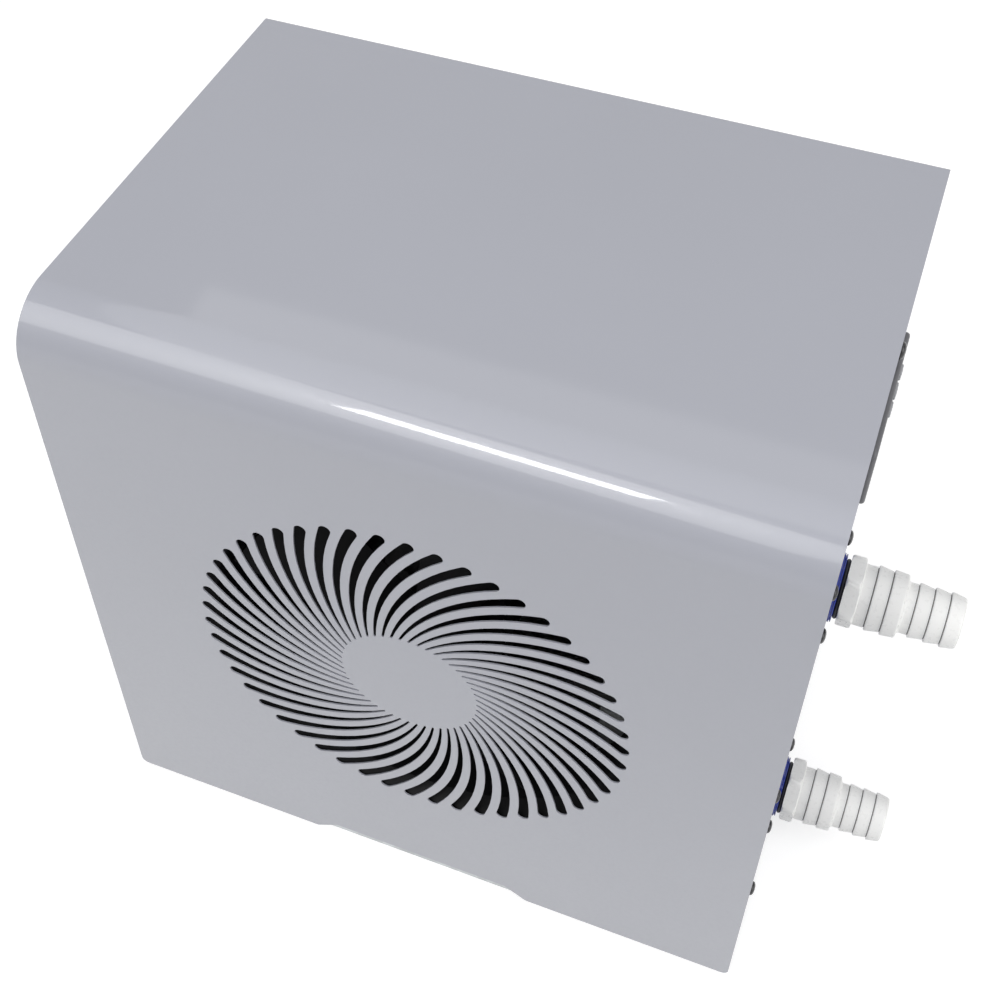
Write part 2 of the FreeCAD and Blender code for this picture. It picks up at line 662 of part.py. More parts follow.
def make_rear_guard():
    """The intake guard: a frame with rows of slots, pressed between rear sheet and coil."""
    body = new_body("rear_guard")
    outline = new_sketch(body, "GuardOutline", "XZ_Plane")
    add_outline(outline, rectangle("fin_left - guard_side", "fin_bottom + guard_low",
                                   "(fin_right - fin_left + 2 * guard_side)",
                                   "(fin_height - guard_low - guard_high)"))
    pad(body, outline, "guard_thickness")
    slots = new_sketch(body, "GuardSlots", "XZ_Plane", "1")
    width = "(guard_span / guard_columns - guard_bar)"
    for column in range(int(size("guard_columns"))):
        left = f"fin_left - opening_side / 2 + {column} * guard_span / guard_columns"
        add_outline(slots, rectangle(left, "fin_bottom + guard_first_row", width,
                                     "(guard_pitch - guard_bar)"))
    first = pocket(body, slots, "guard_thickness + 2")
    rows = body.newObject("PartDesign::LinearPattern", "GuardRows")
    rows.Originals = [first]
    rows.Direction = (origin_feature(body, "Z_Axis"), [""])
    drive(rows, "Occurrences", "guard_rows")
    drive(rows, "Length", "guard_pitch * (guard_rows - 1)")
    body.Tip = rows
    doc.recompute()
    place(body, "0", "pan_front + pan_depth - sheet - sheet_gap", "0")
    return node(body, "rear_guard")


def feet_places():
    return [(x, y) for x in ("foot_inset", "case_width - foot_inset")
            for y in ("foot_inset_y", "case_depth - foot_inset_y")]


BOLT_ANGLES = (50, 170, 290)
COMPRESSOR_BOLTS = [(f"case_width - compressor_x + bolt_circle * cos({angle})",
                     f"compressor_y + bolt_circle * sin({angle})")
                    for angle in BOLT_ANGLES]


def make_base_pan():
    body = new_body("base_pan")
    outline = new_sketch(body, "PanOutline")
    add_outline(outline, rectangle("pan_left", "pan_front", "pan_width", "pan_depth"))
    pad(body, outline, "pan_wall")
    hollow(body, "sheet", face_at("z", size("pan_wall")))
    holes = new_sketch(body, "PanHoles", "XY_Plane", "sheet + 1")
    for x, y in feet_places():
        add_circle(holes, x, y, "foot_hole")
    for number in range(3):
        add_circle(holes, f"fin_left + drain_start + {number} * drain_pitch",
                   "tube_y + drain_shift", "drain_radius")
    pocket(body, holes, "sheet + 2")
    side_holes = new_sketch(body, "PanSideHoles", "YZ_Plane", "pan_left + pan_width + 1")
    add_circle(side_holes, SIDE_SCREWS[0][0], "low_screw - pan_underside", "screw_hole")
    pocket(body, side_holes, "pan_width + 2")
    rear_holes = new_sketch(body, "PanRearHoles", "XZ_Plane",
                            "-(pan_front + pan_depth - flange_hole_depth / 2)")
    for x in REAR_CORNERS:
        add_circle(rear_holes, x, "low_screw - pan_underside", "screw_hole")
    pocket(body, rear_holes, "flange_hole_depth")
    port_notch = new_sketch(body, "PanPortNotch", "YZ_Plane", "pan_left + pan_width + 1")
    add_outline(port_notch, rectangle(
        "port_depth - port_flange / 2 - pan_notch_gap",
        "lower_port - port_flange / 2 - pan_underside - pan_notch_gap",
        "(port_flange + 2 * pan_notch_gap)", "pan_wall"))
    pocket(body, port_notch, "port_flange_thickness + sheet + pan_notch_gap")
    place(body, "0", "0", "pan_underside")
    return node(body, "base_pan")


def make_feet():
    """Round rubber feet with a stem that snaps through the pan."""
    underside = "foot_gap + pan_underside"
    profile = [("0", "0"), ("foot_radius", "0"), ("foot_radius", underside),
               ("foot_stem", underside), ("foot_stem", f"{underside} + sheet"),
               ("foot_stem + foot_barb", f"{underside} + sheet"),
               ("foot_stem - foot_tip", f"{underside} + foot_stem_height"),
               ("0", f"{underside} + foot_stem_height")]
    master = turned_body("foot", profile, "0", "0", "0")
    return group("feet", master, [(x, y, "-foot_gap") for x, y in feet_places()])


def screw_master(name, length):
    """A pan-head screw: head from its seat upwards, shank below, and a cross recess."""
    profile = [("0", f"-({length})"), ("screw_radius", f"-({length})"), ("screw_radius", "0"),
               ("screw_head_radius", "0"), ("screw_head_radius", "screw_head_height / 3"),
               ("screw_head_radius * 0.8", "screw_head_height * 0.75"),
               ("screw_head_radius * 0.45", "screw_head_height"), ("0", "screw_head_height")]
    body = turned_body(name, profile, "0", "0", "0")
    cross = new_sketch(body, body.Name + "Cross", "XY_Plane", "screw_head_height")
    arm = size("screw_head_radius") * 0.42
    half = arm / 4
    points = [(half, half), (half, arm), (-half, arm), (-half, half), (-arm, half), (-arm, -half),
              (-half, -half), (-half, -arm), (half, -arm), (half, -half), (arm, -half), (arm, half)]
    scale = size("screw_head_radius")
    add_outline(cross, [(f"screw_head_radius * {x / scale:.5f}", f"screw_head_radius * {y / scale:.5f}")
                        for x, y in points])
    pocket(body, cross, "screw_head_height / 2")
    return body


def make_screws():
    screw = screw_master("panel_screw", "screw_length")
    group("left_screws", screw, [("panel_inset", y, z) for y, z in SIDE_SCREWS], TOWARDS_LEFT)
    group("right_screws", screw, [("panel_face", y, z) for y, z in SIDE_SCREWS + PORT_SCREWS],
          ALONG_X)
    places = [(x, "case_depth" if z == "high_screw" else "rear_face", z) for x, z in REAR_SCREWS]
    group("rear_screws", screw, places, ALONG_Y)


def make_partition():
    """The sheet between fan bay and machine bay, jogged to clear the shroud."""
    wide = "case_width - front_bay"
    outline = [(wide, "pan_front + partition_front"),
               (f"{wide} + sheet", "pan_front + partition_front"),
               (f"{wide} + sheet", "jog_front"), ("partition_x + sheet", "jog_rear"),
               ("partition_x + sheet", "rim_rear - sheet - partition_rear"),
               ("partition_x", "rim_rear - sheet - partition_rear"), ("partition_x", "jog_rear - sheet / 2"),
               (wide, "jog_front - sheet / 2")]
    body = new_body("partition")
    sketch = new_sketch(body, "PartitionOutline")
    add_outline(sketch, outline)
    pad(body, sketch, "inner_roof - pan_floor - sheet_gap")
    top = "inner_roof - pan_floor"
    corner = new_sketch(body, "BendCorner", "YZ_Plane", f"{wide} + sheet + 1")
    add_outline(corner, [("0", f"{top} - bend_radius"), ("bend_radius", top),
                         ("bend_radius", f"{top} + 5"), ("-5", f"{top} + 5"),
                         ("-5", f"{top} - bend_radius")])
    pocket(body, corner, "sheet + 2")
    holes = new_sketch(body, "PipeHoles", "YZ_Plane", "partition_x + 3")
    add_circle(holes, "tube_y", "first_row - pan_floor", "pipe_hole")
    add_circle(holes, "tube_y", "last_row - pan_floor", "pipe_hole")
    pocket(body, holes, "6")
    place(body, "0", "0", "pan_floor")
    return node(body, "partition")


# ---------------------------------------------------------------- fan and motor

def make_fan():
    turned("fan_shroud", [
        ("shroud_mouth", "0"), ("shroud_flange", "0"), ("shroud_flange", "shroud_wall"),
        ("shroud_mouth + shroud_wall", "shroud_wall"),
        ("shroud_radius + shroud_wall", "shroud_depth * 0.3"),
        ("shroud_radius + shroud_wall", "shroud_depth"), ("shroud_radius", "shroud_depth"),
        ("shroud_radius", "shroud_depth * 0.3 - shroud_wall / 2")],
        "fan_x", "sheet + sheet_gap", "fan_height", ALONG_Y)
    turned("fan_nut", [("shaft_radius", "0"), ("nut_radius", "0"), ("nut_radius", "nut_height / 2"),
                       ("nut_radius * 0.6", "nut_height"), ("shaft_radius", "nut_height")],
           "fan_x", "hub_front", "fan_height", TOWARDS_FRONT)
    make_impeller()


def make_impeller():
    """Hub and twisted blades. The body's Z axis points to the front of the case."""
    body = new_body("fan_impeller")
    profile = new_sketch(body, "HubProfile", "XZ_Plane")
    add_outline(profile, [("shaft_radius", "-hub_length"), ("nut_radius", "-hub_length"),
                          ("nut_radius", "-hub_recess"), ("hub_radius - hub_wall", "-hub_recess"),
                          ("hub_radius - hub_wall", "-hub_length"), ("hub_radius", "-hub_length"),
                          ("hub_radius", "-hub_round"), ("hub_radius - hub_round", "0"),
                          ("shaft_radius", "0")])
    hub = body.newObject("PartDesign::Revolution", "Hub")
    hub.Profile = profile
    hub.ReferenceAxis = (profile, ["V_Axis"])
    hub.Angle = 360
    body.Tip = hub
    doc.recompute()
    sections = []
    for end in ("root", "tip"):
        section = new_sketch(body, f"Blade{end.title()}", "YZ_Plane", f"blade_{end}")
        drive(section, "AttachmentOffset.Base.y", "-hub_length / 2")
        section.AttachmentOffset.Rotation = FreeCAD.Rotation()
        chord = f"blade_{end}_chord"
        pitch = f"blade_{end}_pitch"
        corners = []
        for along, across in ((-1, -1), (1, -1), (1, 1), (-1, 1)):
            x = f"{along} * {chord} / 2 * cos({pitch}) - {across} * blade_thickness / 2 * sin({pitch})"
            y = f"{along} * {chord} / 2 * sin({pitch}) + {across} * blade_thickness / 2 * cos({pitch})"
            corners.append((x, y))
        add_outline(section, corners)
        sections.append(section)
    blade = body.newObject("PartDesign::AdditiveLoft", "Blade")
    blade.Profile = sections[0]
    blade.Sections = [(sections[1], [""])]
    body.Tip = blade
    doc.recompute()
    blades = body.newObject("PartDesign::PolarPattern", "Blades")
    blades.Originals = [blade]
    blades.Axis = (origin_feature(body, "Z_Axis"), [""])
    blades.Angle = 360
    drive(blades, "Occurrences", "blade_count")
    body.Tip = blades
    doc.recompute()
    place(body, "fan_x", "hub_front", "fan_height", TOWARDS_FRONT)
    return node(body, "fan_impeller")


MOTOR_SCREWS = [(f"motor_bolt_circle * cos({angle})", f"motor_bolt_circle * sin({angle})")
                for angle in (45, 135, 225, 315)]


def make_motor():
    def on_axis(label, profile, y):
        return turned(label, profile, "fan_x", y, "fan_height", ALONG_Y)

    on_axis("motor_shaft", disc("shaft_radius", "0",
                                 "motor_rear - shaft_front - motor_wall - shaft_play"),
            "shaft_front")
    boss = "bearing_radius + bearing_boss"
    seat = "motor_wall + bearing_width"
    bell = turned_body("motor_front_bell", [
        ("shaft_radius + shaft_play", "0"), ("motor_radius", "0"), ("motor_radius", "motor_wall"),
        (boss, "motor_wall"), (boss, seat), ("bearing_radius", seat),
        ("bearing_radius", "motor_wall"), ("shaft_radius + shaft_play", "motor_wall")],
        "fan_x", "motor_front", "fan_height", ALONG_Y)
    bell_holes = new_sketch(bell, "BellHoles", "XY_Plane", "motor_wall + 1")
    for x, z in MOTOR_SCREWS:
        add_circle(bell_holes, x, z, "motor_screw_radius + fit_play")
    pocket(bell, bell_holes, "motor_wall + 2")
    node(bell, "motor_front_bell")
    rear_seat = "motor_length - motor_wall - bearing_width"
    on_axis("motor_housing", [
        ("motor_radius - motor_wall", "motor_wall"), ("motor_radius", "motor_wall"),
        ("motor_radius", "motor_length"), ("0", "motor_length"),
        ("0", "motor_length - motor_wall"), ("bearing_radius", "motor_length - motor_wall"),
        ("bearing_radius", rear_seat), (boss, rear_seat), (boss, "motor_length - motor_wall"),
        ("motor_radius - motor_wall", "motor_length - motor_wall")], "motor_front")
    bearing = turned_body("bearing", ring("shaft_radius + shaft_clearance", "bearing_radius", "0",
                                          "bearing_width"), "0", "0", "0")
    group("motor_bearings", bearing,
          [("fan_x", "motor_front + motor_wall", "fan_height"),
           ("fan_x", "motor_rear - motor_wall - bearing_width", "fan_height")], ALONG_Y)
    on_axis("motor_rotor", ring("shaft_radius", "rotor_radius", "0", "rotor_length"), "rotor_front")
    on_axis("motor_stator", ring("rotor_radius + rotor_gap", "motor_radius - motor_wall", "0",
                                 "rotor_length"), "rotor_front")


def make_motor_bracket():
    """A pressed strap from pan to roof. The body's origin is on the fan axis at its front face."""
    body = new_body("motor_bracket")
    low = "pan_floor - fan_height"
    high = "inner_roof - sheet_gap - fan_height"
    profile = new_sketch(body, "BracketProfile", "YZ_Plane", "-bracket_width / 2")
    add_outline(profile, [
        ("0", low), ("bracket_foot", low), ("bracket_foot", f"{low} + bracket_thickness"),
        ("bracket_thickness", f"{low} + bracket_thickness"),
        ("bracket_thickness", f"{high} - bracket_thickness"),
        ("bracket_foot", f"{high} - bracket_thickness"), ("bracket_foot", high), ("0", high)])
    pad(body, profile, "bracket_width")
    holes = new_sketch(body, "BracketHoles", "XZ_Plane", "1")
    add_circle(holes, "0", "0", "bearing_radius + bearing_boss + bracket_hole_gap")
    for x, z in MOTOR_SCREWS:
        add_circle(holes, x, z, "motor_screw_radius + seat_gap")
    window = "(bracket_width / 2 - bracket_rail - bracket_rib)"
    for side in ("-(bracket_width / 2 - bracket_rail)", "bracket_rib"):
        add_outline(holes, rectangle(side, f"{low} + bracket_window_low", window,
                                     "bracket_window"))
    pocket(body, holes, "bracket_thickness + 2")
    place(body, "fan_x", "bracket_face", "fan_height")
    node(body, "motor_bracket")
    screw = turned_body("motor_screw", [
        ("0", "-motor_screw_length"), ("motor_screw_radius", "-motor_screw_length"),
        ("motor_screw_radius", "0"), ("motor_screw_radius * 2", "0"),
        ("motor_screw_radius * 2", "motor_screw_head"), ("0", "motor_screw_head")],
        "0", "0", "0")
    group("motor_screws", screw, [(f"fan_x + {x}", "bracket_face", f"fan_height + {z}")
                                  for x, z in MOTOR_SCREWS], TOWARDS_FRONT)


# ---------------------------------------------------------------- evaporator

def tube_rows():
    """Heights of the coil's tube passes above the fin's lower edge, as formulas."""
    count = int(size("tube_rows"))
    return [f"fin_height * {2 * row + 1} / (2 * tube_rows)" for row in range(count)]


def coil_plate(label, thickness, bore, copies, pitch):
    """Upright plates with a hole for each tube pass, repeated across the coil."""
    body = new_body(label)
    outline = new_sketch(body, body.Name + "Outline", "YZ_Plane")
    add_outline(outline, rectangle("-fin_depth / 2", "0", "fin_depth", "fin_height"))
    for height in tube_rows():
        add_circle(outline, "0", height, bore)
    first = pad(body, outline, thickness)
    rows = body.newObject("PartDesign::LinearPattern", body.Name + "Row")
    rows.Originals = [first]
    rows.Direction = (origin_feature(body, "X_Axis"), [""])
    drive(rows, "Occurrences", copies)
    drive(rows, "Length", f"({pitch}) * ({copies} - 1)")
    body.Tip = rows
    doc.recompute()
    return body


def make_evaporator():
    fins = coil_plate("evaporator_fins", "fin_thickness", "tube_radius + tube_fit", "fin_count",
                      "fin_pitch")
    place(fins, "fin_left", "tube_y", "fin_bottom")
    node(fins, "evaporator_fins")
    ends = coil_plate("evaporator_end_plates", "sheet", "tube_radius + tube_fit", "2",
                      "fin_right - fin_left + fin_thickness + sheet + 2 * sheet_gap")
    place(ends, "fin_left - sheet - sheet_gap", "tube_y", "fin_bottom")
    node(ends, "evaporator_end_plates")
    points = []
    for row, height in enumerate(tube_rows()):
        ends = ("tube_right", "tube_left") if row % 2 == 0 else ("tube_left", "tube_right")
        for end in ends:
            points.append((end, "tube_y", f"fin_bottom + {height}"))
    bent_tube("evaporator_tube", "tube_radius", "tube_bend", points)


# ---------------------------------------------------------------- water side

def make_exchanger():
    centre = ("port_x", "port_depth")
    height = "exchanger_top - exchanger_bottom"
    inside = "exchanger_radius - exchanger_wall"
    reach = "panel_face + union_start - port_x"
    solids = [cylinder("ShellTube", "exchanger_radius", height, *centre, "exchanger_bottom")]
    holes = [cylinder("ShellBore", inside, height, *centre, "exchanger_bottom")]
    for name in ("lower_port", "upper_port"):
        flange = "panel_inner - sheet_gap - port_flange_thickness"
        solids.append(cylinder(name + "_tube", "port_radius", reach, *centre, name, ALONG_X))
        solids.append(block(name + "_flange", "port_flange_thickness", "port_flange", "port_flange",
                            flange, "port_depth - port_flange / 2", f"{name} - port_flange / 2"))
        holes.append(cylinder(name + "_bore", "port_bore", reach, *centre, name, ALONG_X))
    for number, (y, z) in enumerate(PORT_SCREWS):
        holes.append(cylinder(f"port_screw_hole_{number}", "screw_radius + fit_play",
                              "screw_length + 2 * overcut",
                              "panel_face - screw_length - overcut", y, z, ALONG_X))
    shell = cut("ExchangerShell", fused("ShellSolids", solids), holes)
    node(shell, "exchanger_shell")
    cap = turned_body("exchanger_cap", [
        ("0", "0"), ("cap_rim", "0"), ("cap_rim", "cap_rim_height"),
        (inside, "cap_rim_height"), (inside, "cap_rim_height + cap_plug"),
        ("0", "cap_rim_height + cap_plug")], "0", "0", "0")
    lower = place(doc.addObject("App::Link", "lower_cap"), *centre,
                  "exchanger_bottom - cap_rim_height")
    upper = place(doc.addObject("App::Link", "upper_cap"), *centre,
                  "exchanger_top + cap_rim_height", FreeCAD.Rotation(FreeCAD.Vector(1, 0, 0), 180))
    for link in (lower, upper):
        link.LinkedObject = cap
        link.LinkTransform = False
    caps = doc.addObject("Part::Compound", "ExchangerCaps")
    caps.Links = [lower, upper]
    doc.recompute()
    node(caps, "exchanger_caps")
    turned("exchanger_stand", ring("stand_radius - stand_wall", "stand_radius", "pan_floor",
                                   "exchanger_bottom - cap_rim_height"), *centre, "0")
    helix("exchanger_coil", "helix_radius", "helix_tube", "helix_pitch", "helix_turns",
          *centre, "helix_bottom")
    core = "helix_radius - helix_tube - seat_gap"
    turned("coil_core", ring(f"{core} - core_wall", core, "exchanger_bottom + cap_plug",
                             "exchanger_top - cap_plug"), *centre, "0")
    turned("flow_switch", [
        ("0", "0"), ("switch_radius", "0"), ("switch_radius", "switch_collar"),
        ("switch_neck", "switch_collar + 2"), ("switch_neck", "switch_length - 2"),
        ("switch_tip", "switch_length"), ("0", "switch_length")],
        "port_x", "port_depth - exchanger_radius - seat_gap", "upper_port - switch_drop",
        TOWARDS_FRONT)


def tail_profile():
    """Half section of a stepped hose tail, from its spigot to its free end."""
    hex_end = "union_start + union_thickness + seal_thickness + hex_thickness"
    hex_start = "union_start + union_thickness + seal_thickness"
    points = [("tail_bore", "-spigot_length"), ("port_bore - spigot_fit", "-spigot_length"),
              ("port_bore - spigot_fit", hex_end), ("large_root", hex_end),
              ("large_root", "first_barb - barb_face")]
    for number in range(2):
        crest = f"first_barb + {number} * barb_pitch"
        root = "large_root" if number == 0 else "shoulder"
        points.append(("large_crest", crest))
        end = "barb_pitch - barb_face" if number == 0 else "shoulder_length"
        points.append((root, f"{crest} + {end}"))
    points.append(("small_root", "first_barb + 2 * barb_pitch"))
    points.append(("small_root", "small_barb - barb_face"))
    for number in range(3):
        crest = f"small_barb + {number} * barb_pitch"
        points.append(("small_crest", crest))
        end = "fitting_reach - tail_round" if number == 2 else f"{crest} + barb_pitch - barb_face"
        points.append(("small_root", end))
    points.append(("small_root - tail_round", "fitting_reach"))
    points.append(("tail_bore", "fitting_reach"))
    return points, hex_start


def make_hose_tail(label, port):
    """A stepped hose tail with a hexagon, sealed against its union."""
    points, hex_start = tail_profile()
    body = turned_body(label, points, "panel_face", "port_depth", port, ALONG_X)
    hexagon = new_sketch(body, body.Name + "Hexagon", "XY_Plane", hex_start)
    add_outline(hexagon, [(f"hex_radius * cos({angle})", f"hex_radius * sin({angle})")
                          for angle in range(10, 370, 60)])
    add_circle(hexagon, "0", "0", "tail_bore")
    pad(body, hexagon, "hex_thickness")
    return node(body, label)


def make_ports():
    bore = "port_bore - spigot_fit"
    start = "union_start + union_thickness"
    union = turned_body("union", ring(f"{bore} + union_play", "union_radius", "union_start", start),
                        "0", "0", "0")
    seal = turned_body("seal", [
        (f"{bore} + seal_play", start), ("seal_radius - seal_round", start),
        ("seal_radius", f"{start} + seal_thickness / 3"),
        ("seal_radius", f"{start} + seal_thickness * 2 / 3"),
        ("seal_radius - seal_round", f"{start} + seal_thickness"),
        (f"{bore} + seal_play", f"{start} + seal_thickness")], "0", "0", "0")
    places = [("panel_face", "port_depth", port) for port in ("lower_port", "upper_port")]
    group("port_unions", union, places, ALONG_X)
    group("port_seals", seal, places, ALONG_X)
    make_hose_tail("inlet_hose_tail", "lower_port")
    make_hose_tail("outlet_hose_tail", "upper_port")


# ---------------------------------------------------------------- compressor and pipes

def make_compressor():
    centre = ("case_width - compressor_x", "compressor_y")
    can = turned_body("compressor", disc("compressor_radius", "0", "compressor_height"),
                      *centre, "compressor_bottom")
    fillet(can, "dome", circle_at(size("compressor_height")))
    fillet(can, "dome / 2", circle_at(0))
    node(can, "compressor")
    circles = [(x, y, "bolt_radius + bolt_play") for x, y in COMPRESSOR_BOLTS]
    plate_z = "compressor_bottom - plate_thickness"
    reach = [(f"{centre[0]} + plate_reach * cos({angle})", f"compressor_y + plate_reach * sin({angle})")
             for bolt in BOLT_ANGLES for angle in (f"({bolt} - plate_corner)",
                                                   f"({bolt} + plate_corner)")]
    plate("compressor_base_plate", "XY_Plane", reach, "plate_thickness", "0", "0", plate_z, circles)
    gap = f"({plate_z} - pan_floor)"
    grommet = turned_body("grommet", [
        ("bolt_radius + seat_gap", "0"), ("grommet_radius", "0"), ("grommet_radius", f"{gap} * 0.35"),
        ("grommet_waist", f"{gap} * 0.5"), ("grommet_radius", f"{gap} * 0.65"),
        ("grommet_radius", gap), ("bolt_radius + seat_gap", gap)], "0", "0", "0")
    group("compressor_grommets", grommet, [(x, y, "pan_floor") for x, y in COMPRESSOR_BOLTS])
    seat = f"{gap} + plate_thickness"
    bolt = turned_body("compressor_bolt", [
        ("0", "0"), ("bolt_radius", "0"), ("bolt_radius", seat), ("bolt_radius * 1.5", seat),
        ("bolt_radius * 1.5", f"{seat} + bolt_head"), ("0", f"{seat} + bolt_head")], "0", "0", "0")
    group("compressor_bolts", bolt, [(x, y, "pan_floor") for x, y in COMPRESSOR_BOLTS])
    cover = turned_body("terminal_cover", disc("terminal_radius", "0", "terminal_height"),
                        centre[0], "compressor_y + terminal_shift", "compressor_top")
    fillet(cover, "terminal_round", circle_at(size("terminal_height")))
    node(cover, "terminal_cover")
    bottle = turned_body("accumulator", disc("accumulator_radius", "0", "accumulator_height"),
                         "case_width - accumulator_x", "accumulator_y", "accumulator_bottom")
    fillet(bottle, "accumulator_radius * 0.6", circle_at(size("accumulator_height")))
    fillet(bottle, "accumulator_radius * 0.6", circle_at(0))
    node(bottle, "accumulator")


def make_pipes():
    can_x = "case_width - compressor_x"
    bottle_x = "case_width - accumulator_x"
    bottle_top = "accumulator_bottom + accumulator_height"
    drier_x = "case_width - drier_x"
    valve_x = "case_width - valve_x"
    valve_top = "valve_bottom + valve_height"
    dx = size("accumulator_x - compressor_x")
    dy = size("compressor_y - accumulator_y")
    share = 1 - size("compressor_radius") / math.hypot(dx, dy)
    low = "accumulator_bottom - link_drop"
    bent_tube("suction_link", "link_radius", "pipe_bend * 0.7", [
        (bottle_x, "accumulator_y", "accumulator_bottom"), (bottle_x, "accumulator_y", low),
        (f"{bottle_x} + {share} * (accumulator_x - compressor_x)",
         f"accumulator_y + {share} * (compressor_y - accumulator_y)", low)])
    above = "compressor_top + pipe_rise"
    bent_tube("suction_pipe", "pipe_radius", "pipe_bend", [
        ("tube_right", "tube_y", "last_row"), (bottle_x, "tube_y", "last_row"),
        (bottle_x, "tube_y", above), (bottle_x, "accumulator_y", above),
        (bottle_x, "accumulator_y", bottle_top)])
    over = "cap_top + pipe_rise"
    vent_y = "compressor_y - discharge_shift"
    bent_tube("discharge_pipe", "pipe_radius", "pipe_bend", [
        (can_x, vent_y, "compressor_top"), (can_x, vent_y, over),
        ("port_x + cap_port_shift", "port_depth", over),
        ("port_x + cap_port_shift", "port_depth", "cap_top")])
    bent_tube("liquid_pipe", "pipe_radius", "pipe_bend", [
        ("port_x - cap_port_shift", "port_depth", "cap_top"),
        ("port_x - cap_port_shift", "port_depth", over), (drier_x, "drier_y", over),
        (drier_x, "drier_y", "drier_top")])
    turned("filter_drier", [
        ("0", "-drier_length"), ("pipe_neck", "-drier_length"),
        ("drier_radius", "-drier_length + drier_taper"), ("drier_radius", "-drier_taper"),
        ("pipe_neck", "0"), ("0", "0")], drier_x, "drier_y", "drier_top")
    turned("expansion_valve", [
        ("0", "0"), ("pipe_neck", "0"), ("pipe_neck", "valve_neck"),
        ("valve_radius", "valve_neck"), ("valve_radius", "valve_height - valve_neck"),
        ("pipe_neck", "valve_height - valve_neck"), ("pipe_neck", "valve_height"),
        ("0", "valve_height")], valve_x, "valve_y", "valve_bottom")
    drier_foot = "drier_top - drier_length"
    bent_tube("valve_pipe", "link_radius", "pipe_bend * 0.5", [
        (drier_x, "drier_y", drier_foot), (drier_x, "drier_y", f"{drier_foot} - valve_drop"),
        (valve_x, "valve_y", f"{drier_foot} - valve_drop"), (valve_x, "valve_y", valve_top)])
    bent_tube("feed_pipe", "link_radius", "pipe_bend * 0.5", [
        (valve_x, "valve_y", "valve_bottom"), (valve_x, "valve_y", "first_row + feed_rise"),
        (valve_x, "tube_y", "first_row"), ("tube_right", "tube_y", "first_row")])


# ---------------------------------------------------------------- electrical side

def make_control_box():
    """A plastic box on the partition, open towards the right panel, with its lid and board."""
    body = new_body("control_box")
    outline = new_sketch(body, "BoxOutline", "YZ_Plane")
    add_outline(outline, rectangle("0", "0", "box_depth", "box_height"))
    pad(body, outline, "box_width")
    hollow(body, "box_wall", face_at("x", size("box_width")))
    posts = new_sketch(body, "BoxPosts", "YZ_Plane", "box_wall")
    for y in ("box_wall + board_margin + post_inset",
              "box_depth - box_wall - board_margin - post_inset"):
        for z in ("box_wall + board_margin + post_inset",
                  "box_height - box_wall - board_margin - post_inset"):
            add_circle(posts, y, z, "post_radius")
    pad(body, posts, "standoff")
    cables = new_sketch(body, "CableHoles", "XY_Plane", "box_wall + 1")
    for number in range(3):
        add_circle(cables, "box_width - cable_inset", f"cable_start + {number} * cable_pitch",
                   "cable_radius")
    pocket(body, cables, "box_wall + 2")
    place(body, "box_left", "box_front", "box_bottom")
    node(body, "control_box")
    plate("control_box_lid", "YZ_Plane", rectangle("0", "0", "box_depth", "box_height"),
          "box_wall", "box_left + box_width", "box_front", "box_bottom")
    make_circuit_board()


def make_circuit_board():
    """The board on its posts with relays, a transformer and two capacitors."""
    inset = "box_wall + board_margin"
    back = "box_left + box_wall + standoff"
    face = f"{back} + board_thickness"
    low = f"box_bottom + {inset} + part_margin"
    pieces = [block("Board", "board_thickness", f"box_depth - 2 * ({inset})",
                    f"box_height - 2 * ({inset})", back, f"box_front + {inset}",
                    f"box_bottom + {inset}")]
    for number in range(3):
        pieces.append(block(f"Relay{number}", "relay_height", "relay_width", "relay_length",
                            face, f"box_front + relay_start + {number} * relay_pitch", low))
    pieces.append(block("Transformer", "transformer_height", "transformer_width",
                        "transformer_height", face, "box_front + transformer_start", low))
    for number in range(2):
        pieces.append(cylinder(
            f"BoardCapacitor{number}", "capacitor_radius", "capacitor_height", face,
            f"box_front + transformer_start + {number} * capacitor_pitch",
            f"box_bottom + {inset} + capacitor_up", ALONG_X))
    board = fused("CircuitBoard", pieces)
    return node(board, "circuit_board")


BUTTONS = {"power_button": ("0", "1"), "mode_button": ("1", "1"),
           "down_button": ("0", "-1"), "up_button": ("1", "-1")}


def button_place(column, row):
    """A button's centre across the bezel, from the bezel's centre."""
    return (f"bezel_width / 2 - bezel_border - button_pitch * (2 - {column})",
            f"{row} * button_row")


